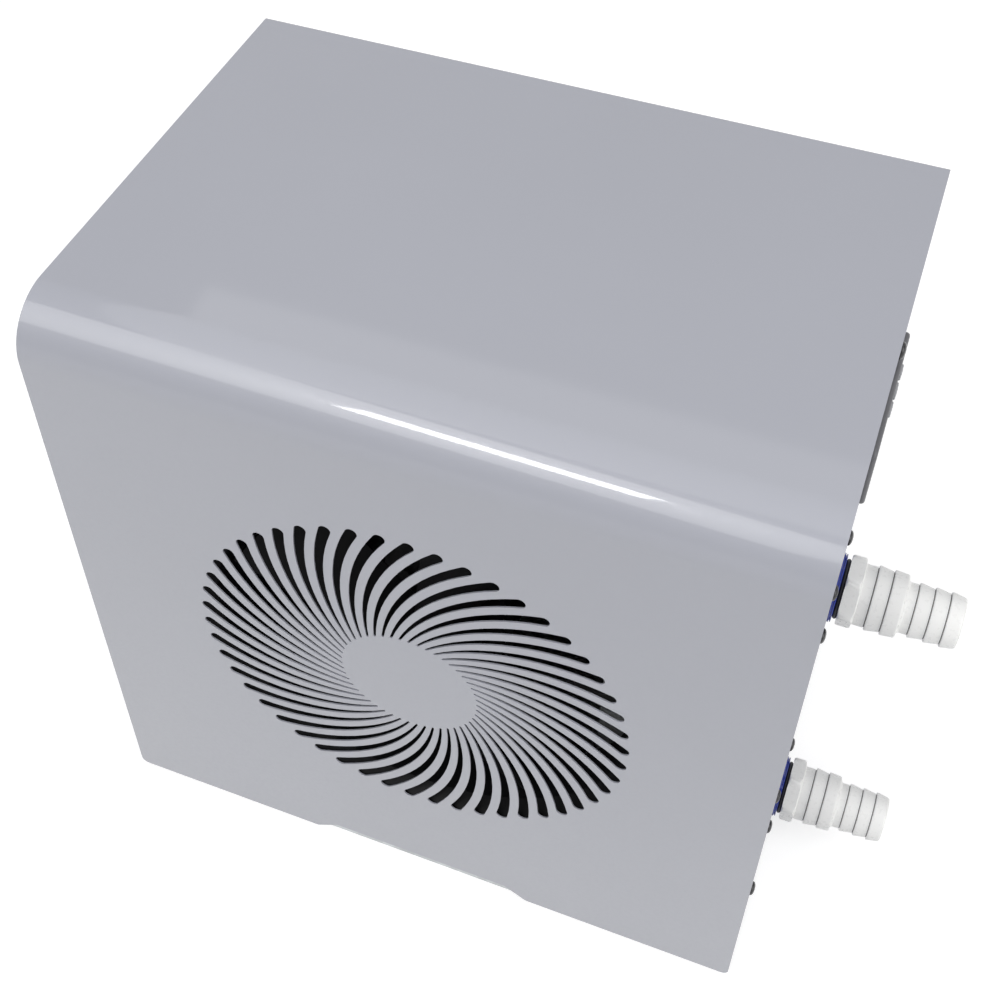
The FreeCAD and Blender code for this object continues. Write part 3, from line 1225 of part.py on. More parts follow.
def make_control_panel():
    """Bezel, window, board and buttons. The bezel's origin is on the right panel's face."""
    body = new_body("control_bezel")
    front = new_sketch(body, "BezelFront", "YZ_Plane")
    add_outline(front, centred("0", "0", "bezel_width", "bezel_height"))
    pad(body, front, "bezel_proud")
    across = [size("bezel_width / 2"), size("-bezel_width / 2")]
    fillet(body, "bezel_round", edge_at("x", {"y": across}))
    proud = size("bezel_proud")
    fillet(body, "bezel_edge", lambda edge: abs(edge.BoundBox.XMin - proud) < 1e-3
           and abs(edge.BoundBox.XMax - proud) < 1e-3)
    frame_width = "bezel_width - 2 * bezel_border - 2 * sheet_gap"
    frame_height = "bezel_height - 2 * bezel_border - 2 * sheet_gap"
    frame = new_sketch(body, "BezelFrame", "YZ_Plane", "-bezel_depth")
    add_outline(frame, centred("0", "0", frame_width, frame_height))
    add_outline(frame, centred("0", "0", f"{frame_width} - 2 * bezel_wall",
                               f"{frame_height} - 2 * bezel_wall"))
    pad(body, frame, "bezel_depth + bezel_join")
    holes = new_sketch(body, "BezelHoles", "YZ_Plane", "bezel_proud + 1")
    add_outline(holes, centred("-window_shift", "0", "window_width", "window_height"))
    for column, row in BUTTONS.values():
        add_circle(holes, *button_place(column, row), "button_radius + button_gap")
    pocket(body, holes, "bezel_proud + 2")
    centre = ("panel_face", "bezel_centre_y", "control_z")
    place(body, *centre)
    node(body, "control_bezel")
    window = new_body("display_window")
    flange = new_sketch(window, "WindowFlange", "YZ_Plane", "-window_set")
    add_outline(flange, centred("-window_shift", "0", "window_width + window_lip",
                                "window_height + window_lip"))
    pad(window, flange, "window_flange")
    glass = new_sketch(window, "WindowGlass", "YZ_Plane", "-glass_set")
    add_outline(glass, centred("-window_shift", "0", "window_width - 2 * sheet_gap",
                               "window_height - 2 * sheet_gap"))
    pad(window, glass, "bezel_proud")
    place(window, *centre)
    node(window, "display_window")
    board = centred("bezel_centre_y", "control_z",
                    f"{frame_width} - 2 * bezel_wall - 2 * sheet_gap",
                    f"{frame_height} - 2 * bezel_wall - 2 * sheet_gap")
    plate("display_board", "YZ_Plane", board, "board_thickness",
          "panel_face - display_depth - board_thickness", "0", "0")
    low, top = "-button_flange - button_gap", "bezel_proud + button_proud"
    for label, (column, row) in BUTTONS.items():
        y, z = button_place(column, row)
        turned(label, [
            ("0", "-button_tail"), ("button_stem", "-button_tail"), ("button_stem", low),
            ("button_radius + button_lip", low), ("button_radius + button_lip", "-button_gap"),
            ("button_radius", "-button_gap"), ("button_radius", f"{top} - button_chamfer"),
            ("button_radius - button_chamfer", top), ("0", top)],
            "panel_face", f"bezel_centre_y + {y}", f"control_z + {z}", ALONG_X)


def make_cable_gland():
    reach = "gland_reach + case_depth - rear_face"
    turned("cable_gland", [
        ("gland_bore", "-gland_tail"), ("gland_radius - gland_wall", "-gland_tail"),
        ("gland_radius - gland_wall", "0"), ("gland_radius", "0"),
        ("gland_radius", "gland_collar"),
        ("gland_radius - gland_step", "gland_collar + gland_edge"),
        ("gland_radius - gland_step", "gland_nut"), ("gland_radius - gland_taper", reach),
        ("gland_bore", reach)],
        "case_width - gland_inset", "rear_face", "gland_height", ALONG_Y)


# ---------------------------------------------------------------- the whole unit

make_wrap_cover()
make_side_panel("left_panel", False)
make_side_panel("right_panel", True)
make_rear_panel()
make_rear_guard()
make_base_pan()
make_feet()
make_screws()
make_partition()
make_fan()
make_motor()
make_motor_bracket()
make_evaporator()
make_exchanger()
make_ports()
make_compressor()
make_pipes()
make_control_box()
make_control_panel()
make_cable_gland()
doc.recompute()

for thing in doc.Objects:
    if "Invalid" in thing.State or "Error" in thing.State:
        raise RuntimeError(f"{thing.Label} did not build: {thing.State}")
for thing in nodes:
    if thing.Shape.isNull() or not thing.Shape.isValid() or not thing.Shape.Solids:
        raise RuntimeError(f"{thing.Label} has no valid solid")

os.makedirs("parts", exist_ok=True)
for thing in nodes:
    thing.Shape.exportStep(f"parts/{thing.Label}.step")
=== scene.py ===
"""Pool heat pump: materials, fine pieces, floor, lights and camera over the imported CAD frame."""
import bpy
import bmesh
import json
import math
from mathutils import Matrix, Vector


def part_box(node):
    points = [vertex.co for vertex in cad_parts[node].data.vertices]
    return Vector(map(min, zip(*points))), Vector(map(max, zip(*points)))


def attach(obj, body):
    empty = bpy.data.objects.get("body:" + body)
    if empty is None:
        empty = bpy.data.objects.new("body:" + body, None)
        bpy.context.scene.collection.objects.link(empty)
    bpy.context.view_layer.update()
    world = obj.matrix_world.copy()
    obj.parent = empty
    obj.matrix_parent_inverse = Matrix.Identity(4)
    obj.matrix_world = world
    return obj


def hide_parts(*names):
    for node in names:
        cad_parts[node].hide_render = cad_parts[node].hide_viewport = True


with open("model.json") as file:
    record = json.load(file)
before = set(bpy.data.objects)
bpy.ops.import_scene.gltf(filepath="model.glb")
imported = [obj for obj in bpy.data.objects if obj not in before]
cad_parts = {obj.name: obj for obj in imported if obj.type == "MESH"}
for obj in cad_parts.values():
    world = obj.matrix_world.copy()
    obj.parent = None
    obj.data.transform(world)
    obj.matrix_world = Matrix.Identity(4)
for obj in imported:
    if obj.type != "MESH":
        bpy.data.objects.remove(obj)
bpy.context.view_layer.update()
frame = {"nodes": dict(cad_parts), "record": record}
NODES = frame["nodes"]
MM = 0.001

# Edge wear: how wide the worn edge is, and the cosines of a normal's turn between which it fades.
WEAR_RADIUS = 0.5 * MM
WEAR_SAMPLES = 3
WEAR_RANGE = (0.86, 0.97)
# Roughness varies by this share to either side, and never falls below the least.
ROUGHNESS_SHARE = 0.18
LEAST_ROUGHNESS = 0.02


# ------------------------------------------------------------------ node helpers

def new_material(name):
    """An empty material with a Principled shader joined to its output."""
    material = bpy.data.materials.new(name)
    material.use_nodes = True
    tree = material.node_tree
    tree.nodes.clear()
    output = tree.nodes.new("ShaderNodeOutputMaterial")
    shader = tree.nodes.new("ShaderNodeBsdfPrincipled")
    tree.links.new(shader.outputs["BSDF"], output.inputs["Surface"])
    return material, tree, shader


def object_place(tree, stretch):
    """The object's own coordinates, in metres, stretched along its axes."""
    place = tree.nodes.new("ShaderNodeTexCoord")
    mapping = tree.nodes.new("ShaderNodeMapping")
    mapping.inputs["Scale"].default_value = stretch
    tree.links.new(place.outputs["Object"], mapping.inputs["Vector"])
    return mapping.outputs["Vector"]


def noise(tree, scale, detail=2.0, stretch=(1, 1, 1)):
    texture = tree.nodes.new("ShaderNodeTexNoise")
    texture.inputs["Scale"].default_value = scale
    texture.inputs["Detail"].default_value = detail
    tree.links.new(object_place(tree, stretch), texture.inputs["Vector"])
    return texture.outputs["Fac"]


def crystals(tree, scale):
    """Cells of random grey, such as the spangle of zinc."""
    texture = tree.nodes.new("ShaderNodeTexVoronoi")
    texture.inputs["Scale"].default_value = scale
    tree.links.new(object_place(tree, (1, 1, 1)), texture.inputs["Vector"])
    grey = tree.nodes.new("ShaderNodeSeparateColor")
    tree.links.new(texture.outputs["Color"], grey.inputs["Color"])
    return grey.outputs["Red"]


def ramp(tree, value, low, high, start=0.3, end=0.7):
    """Two colours or greys blended over a range of a value."""
    node = tree.nodes.new("ShaderNodeValToRGB")
    node.color_ramp.elements[0].position = start
    node.color_ramp.elements[1].position = end
    node.color_ramp.elements[0].color = (*low, 1)
    node.color_ramp.elements[1].color = (*high, 1)
    tree.links.new(value, node.inputs["Fac"])
    return node.outputs["Color"]


def mix_color(tree, factor, first, second):
    """Blend from one colour socket to a plain colour by a factor socket."""
    node = tree.nodes.new("ShaderNodeMix")
    node.data_type = "RGBA"
    tree.links.new(factor, node.inputs[0])
    tree.links.new(first, node.inputs[6])
    node.inputs[7].default_value = (*second, 1)
    return node.outputs[2]


def edge_mask(tree):
    """High along the sharp edges of a piece, where handling wears it."""
    rounded = tree.nodes.new("ShaderNodeBevel")
    rounded.samples = WEAR_SAMPLES
    rounded.inputs["Radius"].default_value = WEAR_RADIUS
    geometry = tree.nodes.new("ShaderNodeNewGeometry")
    dot = tree.nodes.new("ShaderNodeVectorMath")
    dot.operation = "DOT_PRODUCT"
    tree.links.new(rounded.outputs["Normal"], dot.inputs[0])
    tree.links.new(geometry.outputs["Normal"], dot.inputs[1])
    return ramp(tree, dot.outputs["Value"], (1, 1, 1), (0, 0, 0), *WEAR_RANGE)


def surface(name, color, roughness, metallic=0.0, coat=0.0, coat_roughness=0.1, variation=0.05,
            patch=14, grain=900, grain_strength=0.15, grain_depth=0.0002, stretch=(1, 1, 1),
            wear=None, spangle=None, specular=0.5):
    """A finish with slow colour change, roughness change, fine grain and, if given, edge wear."""
    material, tree, shader = new_material(name)
    darker = [channel * (1 - variation) for channel in color]
    lighter = [min(1.0, channel * (1 + variation)) for channel in color]
    patches = crystals(tree, spangle) if spangle else noise(tree, patch, 4.0)
    reach = (0.0, 1.0) if spangle else (0.3, 0.7)
    tint = ramp(tree, patches, darker, lighter, *reach)
    if wear:
        tint = mix_color(tree, edge_mask(tree), tint, wear)
    tree.links.new(tint, shader.inputs["Base Color"])
    fine = noise(tree, grain, 3.0, stretch)
    spread = roughness * ROUGHNESS_SHARE
    smoothest = (max(LEAST_ROUGHNESS, roughness - spread),) * 3
    roughest = (min(1.0, roughness + spread),) * 3
    tree.links.new(ramp(tree, fine, smoothest, roughest), shader.inputs["Roughness"])
    node = tree.nodes.new("ShaderNodeBump")
    node.inputs["Strength"].default_value = grain_strength
    node.inputs["Distance"].default_value = grain_depth
    tree.links.new(fine, node.inputs["Height"])
    tree.links.new(node.outputs["Normal"], shader.inputs["Normal"])
    shader.inputs["Metallic"].default_value = metallic
    shader.inputs["Specular IOR Level"].default_value = specular
    shader.inputs["Coat Weight"].default_value = coat
    shader.inputs["Coat Roughness"].default_value = coat_roughness
    return material


# ------------------------------------------------------------------ finishes

FINISHES = {
    "casing_paint": surface("casing_paint", (0.345, 0.354, 0.402), 0.36, coat=0.9,
                            coat_roughness=0.05, variation=0.015, patch=5, grain=420,
                            grain_strength=0.03, grain_depth=0.0001),
    "galvanised": surface("galvanised", (0.5, 0.52, 0.53), 0.42, metallic=0.9, variation=0.14,
                          grain=500, spangle=160),
    "black_screw": surface("black_screw", (0.016, 0.016, 0.018), 0.3, metallic=0.3, coat=0.3,
                           wear=(0.06, 0.06, 0.065)),
    "rubber": surface("rubber", (0.016, 0.016, 0.017), 0.5, variation=0.12),
    "black_plastic": surface("black_plastic", (0.012, 0.012, 0.013), 0.42, grain=1400,
                             wear=(0.03, 0.03, 0.032)),
    "bezel_plastic": surface("bezel_plastic", (0.13, 0.13, 0.14), 0.42, grain=1600,
                             grain_strength=0.3, wear=(0.17, 0.17, 0.18)),
    "window": surface("window", (0.008, 0.009, 0.012), 0.08, coat=1.0, coat_roughness=0.03,
                      grain_strength=0.01),
    "button": surface("button", (0.42, 0.43, 0.45), 0.4, grain=1500, wear=(0.5, 0.51, 0.53)),
    "white_pvc": surface("white_pvc", (0.9, 0.9, 0.885), 0.3, variation=0.012, patch=30,
                         grain=420, grain_strength=0.05),
    "blue_plastic": surface("blue_plastic", (0.012, 0.035, 0.34), 0.2, coat=0.4, patch=40),
    "grey_pvc": surface("grey_pvc", (0.27, 0.28, 0.29), 0.4),
    "fin_aluminium": surface("fin_aluminium", (0.62, 0.65, 0.67), 0.34, metallic=1.0, patch=60,
                             variation=0.1),
    "copper": surface("copper", (0.72, 0.33, 0.18), 0.28, metallic=1.0, variation=0.15, patch=40),
    "titanium": surface("titanium", (0.45, 0.44, 0.42), 0.35, metallic=1.0, patch=40),
    "steel": surface("steel", (0.45, 0.45, 0.46), 0.34, metallic=1.0, grain=600),
    "black_enamel": surface("black_enamel", (0.012, 0.012, 0.013), 0.3, coat=0.4),
    "board_green": surface("board_green", (0.02, 0.16, 0.06), 0.4, coat=0.3, patch=90),
    "core_iron": surface("core_iron", (0.18, 0.15, 0.13), 0.5, metallic=0.8, stretch=(1, 60, 1)),
}
# Painted shade: a dull black with little shine that stands for the shaded inside of the casing.
PAINTED_SHADE_BLACK = surface("painted_shade_black", (0.009, 0.009, 0.01), 0.5, grain=1400, specular=0.12)
# Painted shade: a dark grey put in the grooves at the barbs' feet.
PAINTED_GROOVE_SHADE = surface("painted_groove_shade", (0.16, 0.16, 0.16), 0.6, variation=0.1, patch=200)
SEGMENT = surface("display_segment", (0.05, 0.052, 0.056), 0.3, variation=0.05)
SYMBOL = surface("button_symbol", (0.09, 0.09, 0.095), 0.5, variation=0.05)

# Painted shade: what shows through the grille, steel and zinc-coated parts too, is painted a dull
# black in place of its own finish, as the shade inside the casing, so that the slots read as dark.
SHADE_PAINTED_PARTS = {"fan_shroud", "fan_impeller", "fan_nut", "motor_front_bell", "motor_bracket",
            "motor_screws", "motor_housing"}


def finish_cad_nodes():
    """Give every CAD node the finish of its material slot, or a black of painted shade on the parts
    behind the grille.
    """
    for entry in frame["record"]["subparts"]:
        mesh = NODES[entry["node"]].data
        mesh.materials.clear()
        dark = entry["node"] in SHADE_PAINTED_PARTS
        mesh.materials.append(PAINTED_SHADE_BLACK if dark else FINISHES[entry["material_slot"]])


# ------------------------------------------------------------------ mesh helpers

def add_piece(name, points, faces, slot, body="casing", replaced=(), sharp=40.0, extra=None):
    """A mesh object that rides on a body, wears a slot's finish and stands for CAD nodes."""
    mesh = bpy.data.meshes.new(name)
    mesh.from_pydata(points, [], faces)
    mesh.validate()
    mesh.materials.append(FINISHES[slot])
    if extra:
        material, chosen = extra
        mesh.materials.append(material)
        for index in chosen:
            mesh.polygons[index].material_index = 1
    mesh.shade_smooth()
    mesh.set_sharp_from_angle(angle=math.radians(sharp))
    piece = bpy.data.objects.new(name, mesh)
    bpy.context.scene.collection.objects.link(piece)
    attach(piece, body)
    if replaced:
        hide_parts(*replaced)
    return piece


def turned_grid(profile, centre, segments=96, offset=0.0, radius_of=None):
    """Points and faces of a closed profile of (x, radius) turned about an X axis, in metres."""
    points, faces = [], []
    for x, radius in profile:
        for step in range(segments):
            turn = offset + 2 * math.pi * step / segments
            reach = radius_of(x, radius, turn) if radius_of else radius
            points.append((centre[0] + x, centre[1] + reach * math.sin(turn),
                           centre[2] - reach * math.cos(turn)))
    count = len(profile)
    for ring in range(count):
        below, above = ring * segments, ((ring + 1) % count) * segments
        for step in range(segments):
            after = (step + 1) % segments
            faces.append((below + step, below + after, above + after, above + step))
    return points, faces


def outward(points, faces):
    """The same mesh with every face turned to look outwards."""
    work = bmesh.new()
    corners = [work.verts.new(point) for point in points]
    for face in faces:
        work.faces.new([corners[index] for index in face])
    bmesh.ops.recalc_face_normals(work, faces=work.faces)
    work.verts.index_update()
    turned = [tuple(corner.index for corner in face.verts) for face in work.faces]
    work.free()
    return points, turned


def prism(outline, low, high):
    """A closed prism along X over an outline of (y, z) points."""
    count = len(outline)
    points = [(x, y, z) for x in (low, high) for y, z in outline]
    faces = [tuple(range(count)), tuple(range(2 * count - 1, count - 1, -1))]
    for step in range(count):
        after = (step + 1) % count
        faces.append((step, after, count + after, count + step))
    return points, faces


def together(meshes):
    """Several meshes as one list of points and one of faces."""
    points, faces = [], []
    for more_points, more_faces in meshes:
        start = len(points)
        points.extend(more_points)
        faces.extend(tuple(index + start for index in face) for face in more_faces)
    return points, faces


# Points nearer to each other than this, in metres, count as one.
WELD_REACH = 2e-6


def welded(node):
    """A CAD node's mesh with its doubled points joined, in a bmesh of its own."""
    work = bmesh.new()
    work.from_mesh(NODES[node].data)
    bmesh.ops.remove_doubles(work, verts=work.verts, dist=WELD_REACH)
    work.verts.index_update()
    return work


def islands(node):
    """The lowest and highest corners of each separate solid of a CAD node."""
    work = welded(node)
    waiting = set(work.verts)
    boxes = []
    while waiting:
        reached = [waiting.pop()]
        members = []
        while reached:
            corner = reached.pop()
            members.append(corner.co.copy())
            for edge in corner.link_edges:
                other = edge.other_vert(corner)
                if other in waiting:
                    waiting.discard(other)
                    reached.append(other)
        low = Vector(min(point[axis] for point in members) for axis in range(3))
        high = Vector(max(point[axis] for point in members) for axis in range(3))
        boxes.append((low, high))
    work.free()
    return sorted(boxes, key=lambda box: tuple(round(value, 6) for value in box[0]))


# ------------------------------------------------------------------ sheets with broken edges

EDGE_WIDTH = 0.18 * MM
EDGE_SEGMENTS = 2
EDGE_ANGLE = math.radians(50)


def soften_sheet(node, slot):
    """Stand a copy of a sheet part, with its cut edges lightly rounded, in for the CAD node."""
    work = welded(node)
    points = [corner.co.copy() for corner in work.verts]
    faces = [tuple(corner.index for corner in face.verts) for face in work.faces]
    work.free()
    piece = add_piece(node + "_sheet", points, faces, slot, replaced=(node,))
    rounding = piece.modifiers.new("rounding", "BEVEL")
    rounding.width = EDGE_WIDTH
    rounding.segments = EDGE_SEGMENTS
    rounding.limit_method = "ANGLE"
    rounding.angle_limit = EDGE_ANGLE
    normals = piece.modifiers.new("normals", "WEIGHTED_NORMAL")
    normals.keep_sharp = False


# ------------------------------------------------------------------ water fittings

# Sizes in millimetres. X runs outwards from the right panel's face, and an outline is a
# list of (X, radius).
TAIL_NAMES = {"inlet_hose_tail": "inlet_tail", "outlet_hose_tail": "outlet_tail"}
TAIL_SEGMENTS = 96
TAIL_BORE, TAIL_SPIGOT, TAIL_REACH = 11.6, 14.5, 72.5
SPIGOT_START, SPIGOT_ROUND, NECK_ROUND = -20.0, 0.4, 0.5
HEX_START, HEX_END, HEX_CORNER = 5.6, 14.2, 22.3
HEX_TURNS = {"inlet_hose_tail": 14.0, "outlet_hose_tail": 26.0}
# The hexagon's rounded rim: how far in from its face, and how far below its corners.
HEX_RIM = ((0.0, 1.9), (0.25, 1.2), (1.0, 0.25))
LARGE_ROOT, LARGE_CREST, SHOULDER = 18.1, 19.3, 18.7
SMALL_ROOT, SMALL_CREST = 15.0, 16.2
# Each barb: where its crest is, where its slope ends, and the radius there.
LARGE_BARBS = ((22, 29.9, LARGE_ROOT), (31, 38.4, SHOULDER))
SMALL_BARBS = ((46, 53.9, SMALL_ROOT), (55, 62.9, SMALL_ROOT), (64, 71.2, SMALL_ROOT))
# A barb's rise: how far along from the crest, and how far below it.
BARB_RISE = ((-0.42, 0.45), (-0.2, 0.1), (0.25, 0.0), (0.9, 0.05))
SLOPE_END, SLOPE_LIFT = 0.3, 0.06
# The groove at a barb's foot, whose dark colour is painted shade: how far before the crest it ends,
# its depth and width.
LINE_GAP, LINE_DEPTH, LINE_WIDTH = 0.5, 0.5, 0.55
STEP_DOWN = [(39.0, SHOULDER - 0.5), (39.8, SMALL_ROOT + 0.7), (40.6, SMALL_ROOT)]
MOUTH = [(71.9, SMALL_ROOT - 0.35), (72.35, SMALL_ROOT - 0.95), (TAIL_REACH, SMALL_ROOT - 1.7),
         (TAIL_REACH, TAIL_BORE + 0.5), (72.1, TAIL_BORE)]
COLLAR = [(0.8, 14.9), (0.8, 20.5), (1.05, 20.8), (1.6, 20.8), (1.8, 20.5), (1.8, 19.6),
          (2.15, 19.6), (2.15, 20.2), (2.35, 20.45), (2.8, 20.45), (3.0, 20.2), (3.0, 14.9)]
SEAL_START, SEAL_END, SEAL_BORE, SEAL_SEAT = 3.0, 5.6, 14.7, 16.4
SEAL_MIDDLE, SEAL_HALF, SEAL_ROUND, SEAL_STEPS = 4.3, 1.3, 1.5, 8


def tooth(root, crest, at, end, end_radius):
    """One barb: a groove at its foot that takes a painted shade, a steep rise, a soft crest and a
    long slope.
    """
    foot = at - LINE_GAP
    line = [(foot - LINE_WIDTH, root), (foot - LINE_WIDTH, root - LINE_DEPTH),
            (foot, root - LINE_DEPTH)]
    rise = [(at + along, crest - below) for along, below in BARB_RISE]
    return line + rise + [(end - SLOPE_END, end_radius + SLOPE_LIFT), (end, end_radius)]


def tail_profile():
    """The closed outline of a stepped hose tail, from its spigot to its mouth."""
    profile = [(SPIGOT_START, TAIL_BORE), (SPIGOT_START, TAIL_SPIGOT - SPIGOT_ROUND),
               (SPIGOT_START + SPIGOT_ROUND, TAIL_SPIGOT), (HEX_START, TAIL_SPIGOT)]
    profile += [(HEX_START + inset, HEX_CORNER - drop) for inset, drop in HEX_RIM]
    profile += [(HEX_END - inset, HEX_CORNER - drop) for inset, drop in reversed(HEX_RIM)]
    profile += [(HEX_END, LARGE_ROOT + NECK_ROUND), (HEX_END + NECK_ROUND, LARGE_ROOT)]
    for barb in LARGE_BARBS:
        profile += tooth(LARGE_ROOT, LARGE_CREST, *barb)
    profile += STEP_DOWN
    for barb in SMALL_BARBS:
        profile += tooth(SMALL_ROOT, SMALL_CREST, *barb)
    return profile + MOUTH


def hex_cut(first_corner):
    """A rule that cuts the ring of the hexagon's height down to six flats."""
    def radius_of(x, radius, turn):
        if not HEX_START * MM - 1e-9 <= x <= HEX_END * MM + 1e-9 or radius < LARGE_CREST * MM:
            return radius
        sixth = math.pi / 3
        across = (turn - first_corner) % sixth - sixth / 2
        return min(radius, HEX_CORNER * MM * math.cos(sixth / 2) / math.cos(across))
    return radius_of


def line_rings(profile):
    """The stretches of a scaled outline that are the flat bottoms of its grooves, where shade is
    painted.
    """
    rings = []
    for ring, (first, second) in enumerate(zip(profile, profile[1:])):
        level = abs(second[1] - first[1]) <= 0.4 * LINE_DEPTH * MM
        if level and abs(second[0] - first[0] - LINE_WIDTH * MM) < 1e-7:
            rings.append(ring)
    return rings


def ports():
    """Where the two ports' axes cross the right panel's face."""
    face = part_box("right_panel")[1].x
    boxes = [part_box(node) for node in TAIL_NAMES]
    return [(face, (low.y + high.y) / 2, (low.z + high.z) / 2) for low, high in boxes]


def add_hose_tails():
    """Both stepped hose tails, with painted shade in the grooves at the feet of their barbs."""
    profile = [(x * MM, radius * MM) for x, radius in tail_profile()]
    dark = [ring * TAIL_SEGMENTS + step for ring in line_rings(profile)
            for step in range(TAIL_SEGMENTS)]
    for (node, name), centre in zip(TAIL_NAMES.items(), ports()):
        corner = math.radians(HEX_TURNS[node])
        mesh = turned_grid(profile, centre, TAIL_SEGMENTS, corner, hex_cut(corner))
        add_piece(name, *outward(*mesh), "white_pvc", replaced=(node,), sharp=32,
                  extra=(PAINTED_GROOVE_SHADE, dark))


def add_port_rings():
    """The blue union collar with its groove, and the black seal under each hexagon."""
    turns = [math.pi * step / SEAL_STEPS for step in range(SEAL_STEPS + 1)]
    seal = [(SEAL_START, SEAL_BORE)]
    seal += [(SEAL_MIDDLE - SEAL_HALF * math.cos(turn), SEAL_SEAT + SEAL_ROUND * math.sin(turn))
             for turn in turns]
    seal.append((SEAL_END, SEAL_BORE))
    for name, profile, slot, node in (("union_collars", COLLAR, "blue_plastic", "port_unions"),
                                      ("union_seals", seal, "rubber", "port_seals")):
        scaled = [(x * MM, radius * MM) for x, radius in profile]
        mesh = together([turned_grid(scaled, centre) for centre in ports()])
        add_piece(name, *outward(*mesh), slot, replaced=(node,))


# ------------------------------------------------------------------ screws

# Sizes in millimetres.
HEAD_RADIUS, HEAD_HEIGHT, SHANK_RADIUS, SCREW_LENGTH = 4.75, 3.0, 1.9, 12.0
POINT_INSET, POINT_LENGTH, RIM_INSET, RIM_RISE = 0.4, 0.5, 0.15, 0.2
DOME_HEIGHT, DOME_POWER, DOME_STEPS, SCREW_SEGMENTS = 2.2, 0.8, 8, 32
RECESS_REACH, RECESS_WIDTH = 2.3, 0.55
# The cross recess tapers: its height, and its share of full size there.
RECESS_LEVELS = ((0.5, 1.1), (-1.9, 0.55))
# Screws are driven to no particular angle, in radians: the first, and the step to the next.
FIRST_TURN, NEXT_TURN = 0.9, 1.7


def screw_master():
    """A pan-head screw with a cross recess, its top at the origin and its shank along -Z."""
    outline = [(0.0, -SCREW_LENGTH), (SHANK_RADIUS - POINT_INSET, -SCREW_LENGTH),
               (SHANK_RADIUS, -SCREW_LENGTH + POINT_LENGTH), (SHANK_RADIUS, -HEAD_HEIGHT),
               (HEAD_RADIUS - RIM_INSET, -HEAD_HEIGHT), (HEAD_RADIUS, -HEAD_HEIGHT + RIM_RISE)]
    for step in range(DOME_STEPS + 1):
        turn = math.pi / 2 * step / DOME_STEPS
        outline.append((HEAD_RADIUS * math.cos(turn) ** DOME_POWER,
                        -DOME_HEIGHT + DOME_HEIGHT * math.sin(turn)))
    work = bmesh.new()
    chain = [work.verts.new((radius * MM, 0, z * MM)) for radius, z in outline]
    edges = [work.edges.new(pair) for pair in zip(chain, chain[1:])]
    bmesh.ops.spin(work, geom=chain + edges, axis=(0, 0, 1), cent=(0, 0, 0),
                   steps=SCREW_SEGMENTS, angle=2 * math.pi)
    bmesh.ops.remove_doubles(work, verts=work.verts, dist=1e-6)
    bmesh.ops.recalc_face_normals(work, faces=work.faces)
    mesh = bpy.data.meshes.new("screw")
    work.to_mesh(mesh)
    work.free()
    screw = bpy.data.objects.new("screw", mesh)
    bpy.context.scene.collection.objects.link(screw)
    cutters = []
    for along, across in ((RECESS_REACH, RECESS_WIDTH), (RECESS_WIDTH, RECESS_REACH)):
        taper = [(sx * along * share * MM, sy * across * share * MM, z * MM)
                 for z, share in RECESS_LEVELS
                 for sx, sy in ((-1, -1), (1, -1), (1, 1), (-1, 1))]
        faces = [(0, 1, 2, 3), (7, 6, 5, 4), (0, 4, 5, 1), (1, 5, 6, 2), (2, 6, 7, 3), (3, 7, 4, 0)]
        corners, sides = outward(taper, faces)
        blade = bpy.data.meshes.new("blade")
        blade.from_pydata(corners, [], sides)
        cutter = bpy.data.objects.new("blade", blade)
        bpy.context.scene.collection.objects.link(cutter)
        recess = screw.modifiers.new("recess", "BOOLEAN")
        recess.operation = "DIFFERENCE"
        recess.object = cutter
        recess.solver = "EXACT"
        cutters.append(cutter)
    graph = bpy.context.evaluated_depsgraph_get()
    finished = bpy.data.meshes.new_from_object(screw.evaluated_get(graph))
    points = [corner.co.copy() for corner in finished.vertices]
    faces = [tuple(face.vertices) for face in finished.polygons]
    for item in [screw] + cutters:
        bpy.data.objects.remove(item)
    return points, faces


# Each screw node: the turn that points a screw into its sheet, the axis its head lies on,
# and which end of that axis the head is at.
SCREW_SIDES = {
    "right_screws": (Matrix.Rotation(math.pi / 2, 4, "Y"), 0, 1),
    "left_screws": (Matrix.Rotation(-math.pi / 2, 4, "Y"), 0, -1),
    "rear_screws": (Matrix.Rotation(-math.pi / 2, 4, "X"), 1, 1),
}


def add_screws():
    """Detailed screws where the CAD node has them, each turned a little differently."""
    points, faces = screw_master()
    for node, (turn, axis, sign) in SCREW_SIDES.items():
        meshes = []
        for number, (low, high) in enumerate(islands(node)):
            place = (low + high) / 2
            place[axis] = high[axis] if sign > 0 else low[axis]
            spin = Matrix.Rotation(FIRST_TURN + NEXT_TURN * number, 4, "Z")
            move = Matrix.Translation(place) @ turn @ spin
            meshes.append(([move @ point for point in points], faces))
        add_piece(node[:-1] + "_heads", *together(meshes), "black_screw", replaced=(node,))


# ------------------------------------------------------------------ coil behind the guard

FIN_PITCH, FIN_THICKNESS, FIN_RIPPLE, FIN_FOLDS = 1.9 * MM, 0.14 * MM, 0.3 * MM, 10
# How much of a pitch the first fin stands in from the coil's end.
FIN_START = 0.3


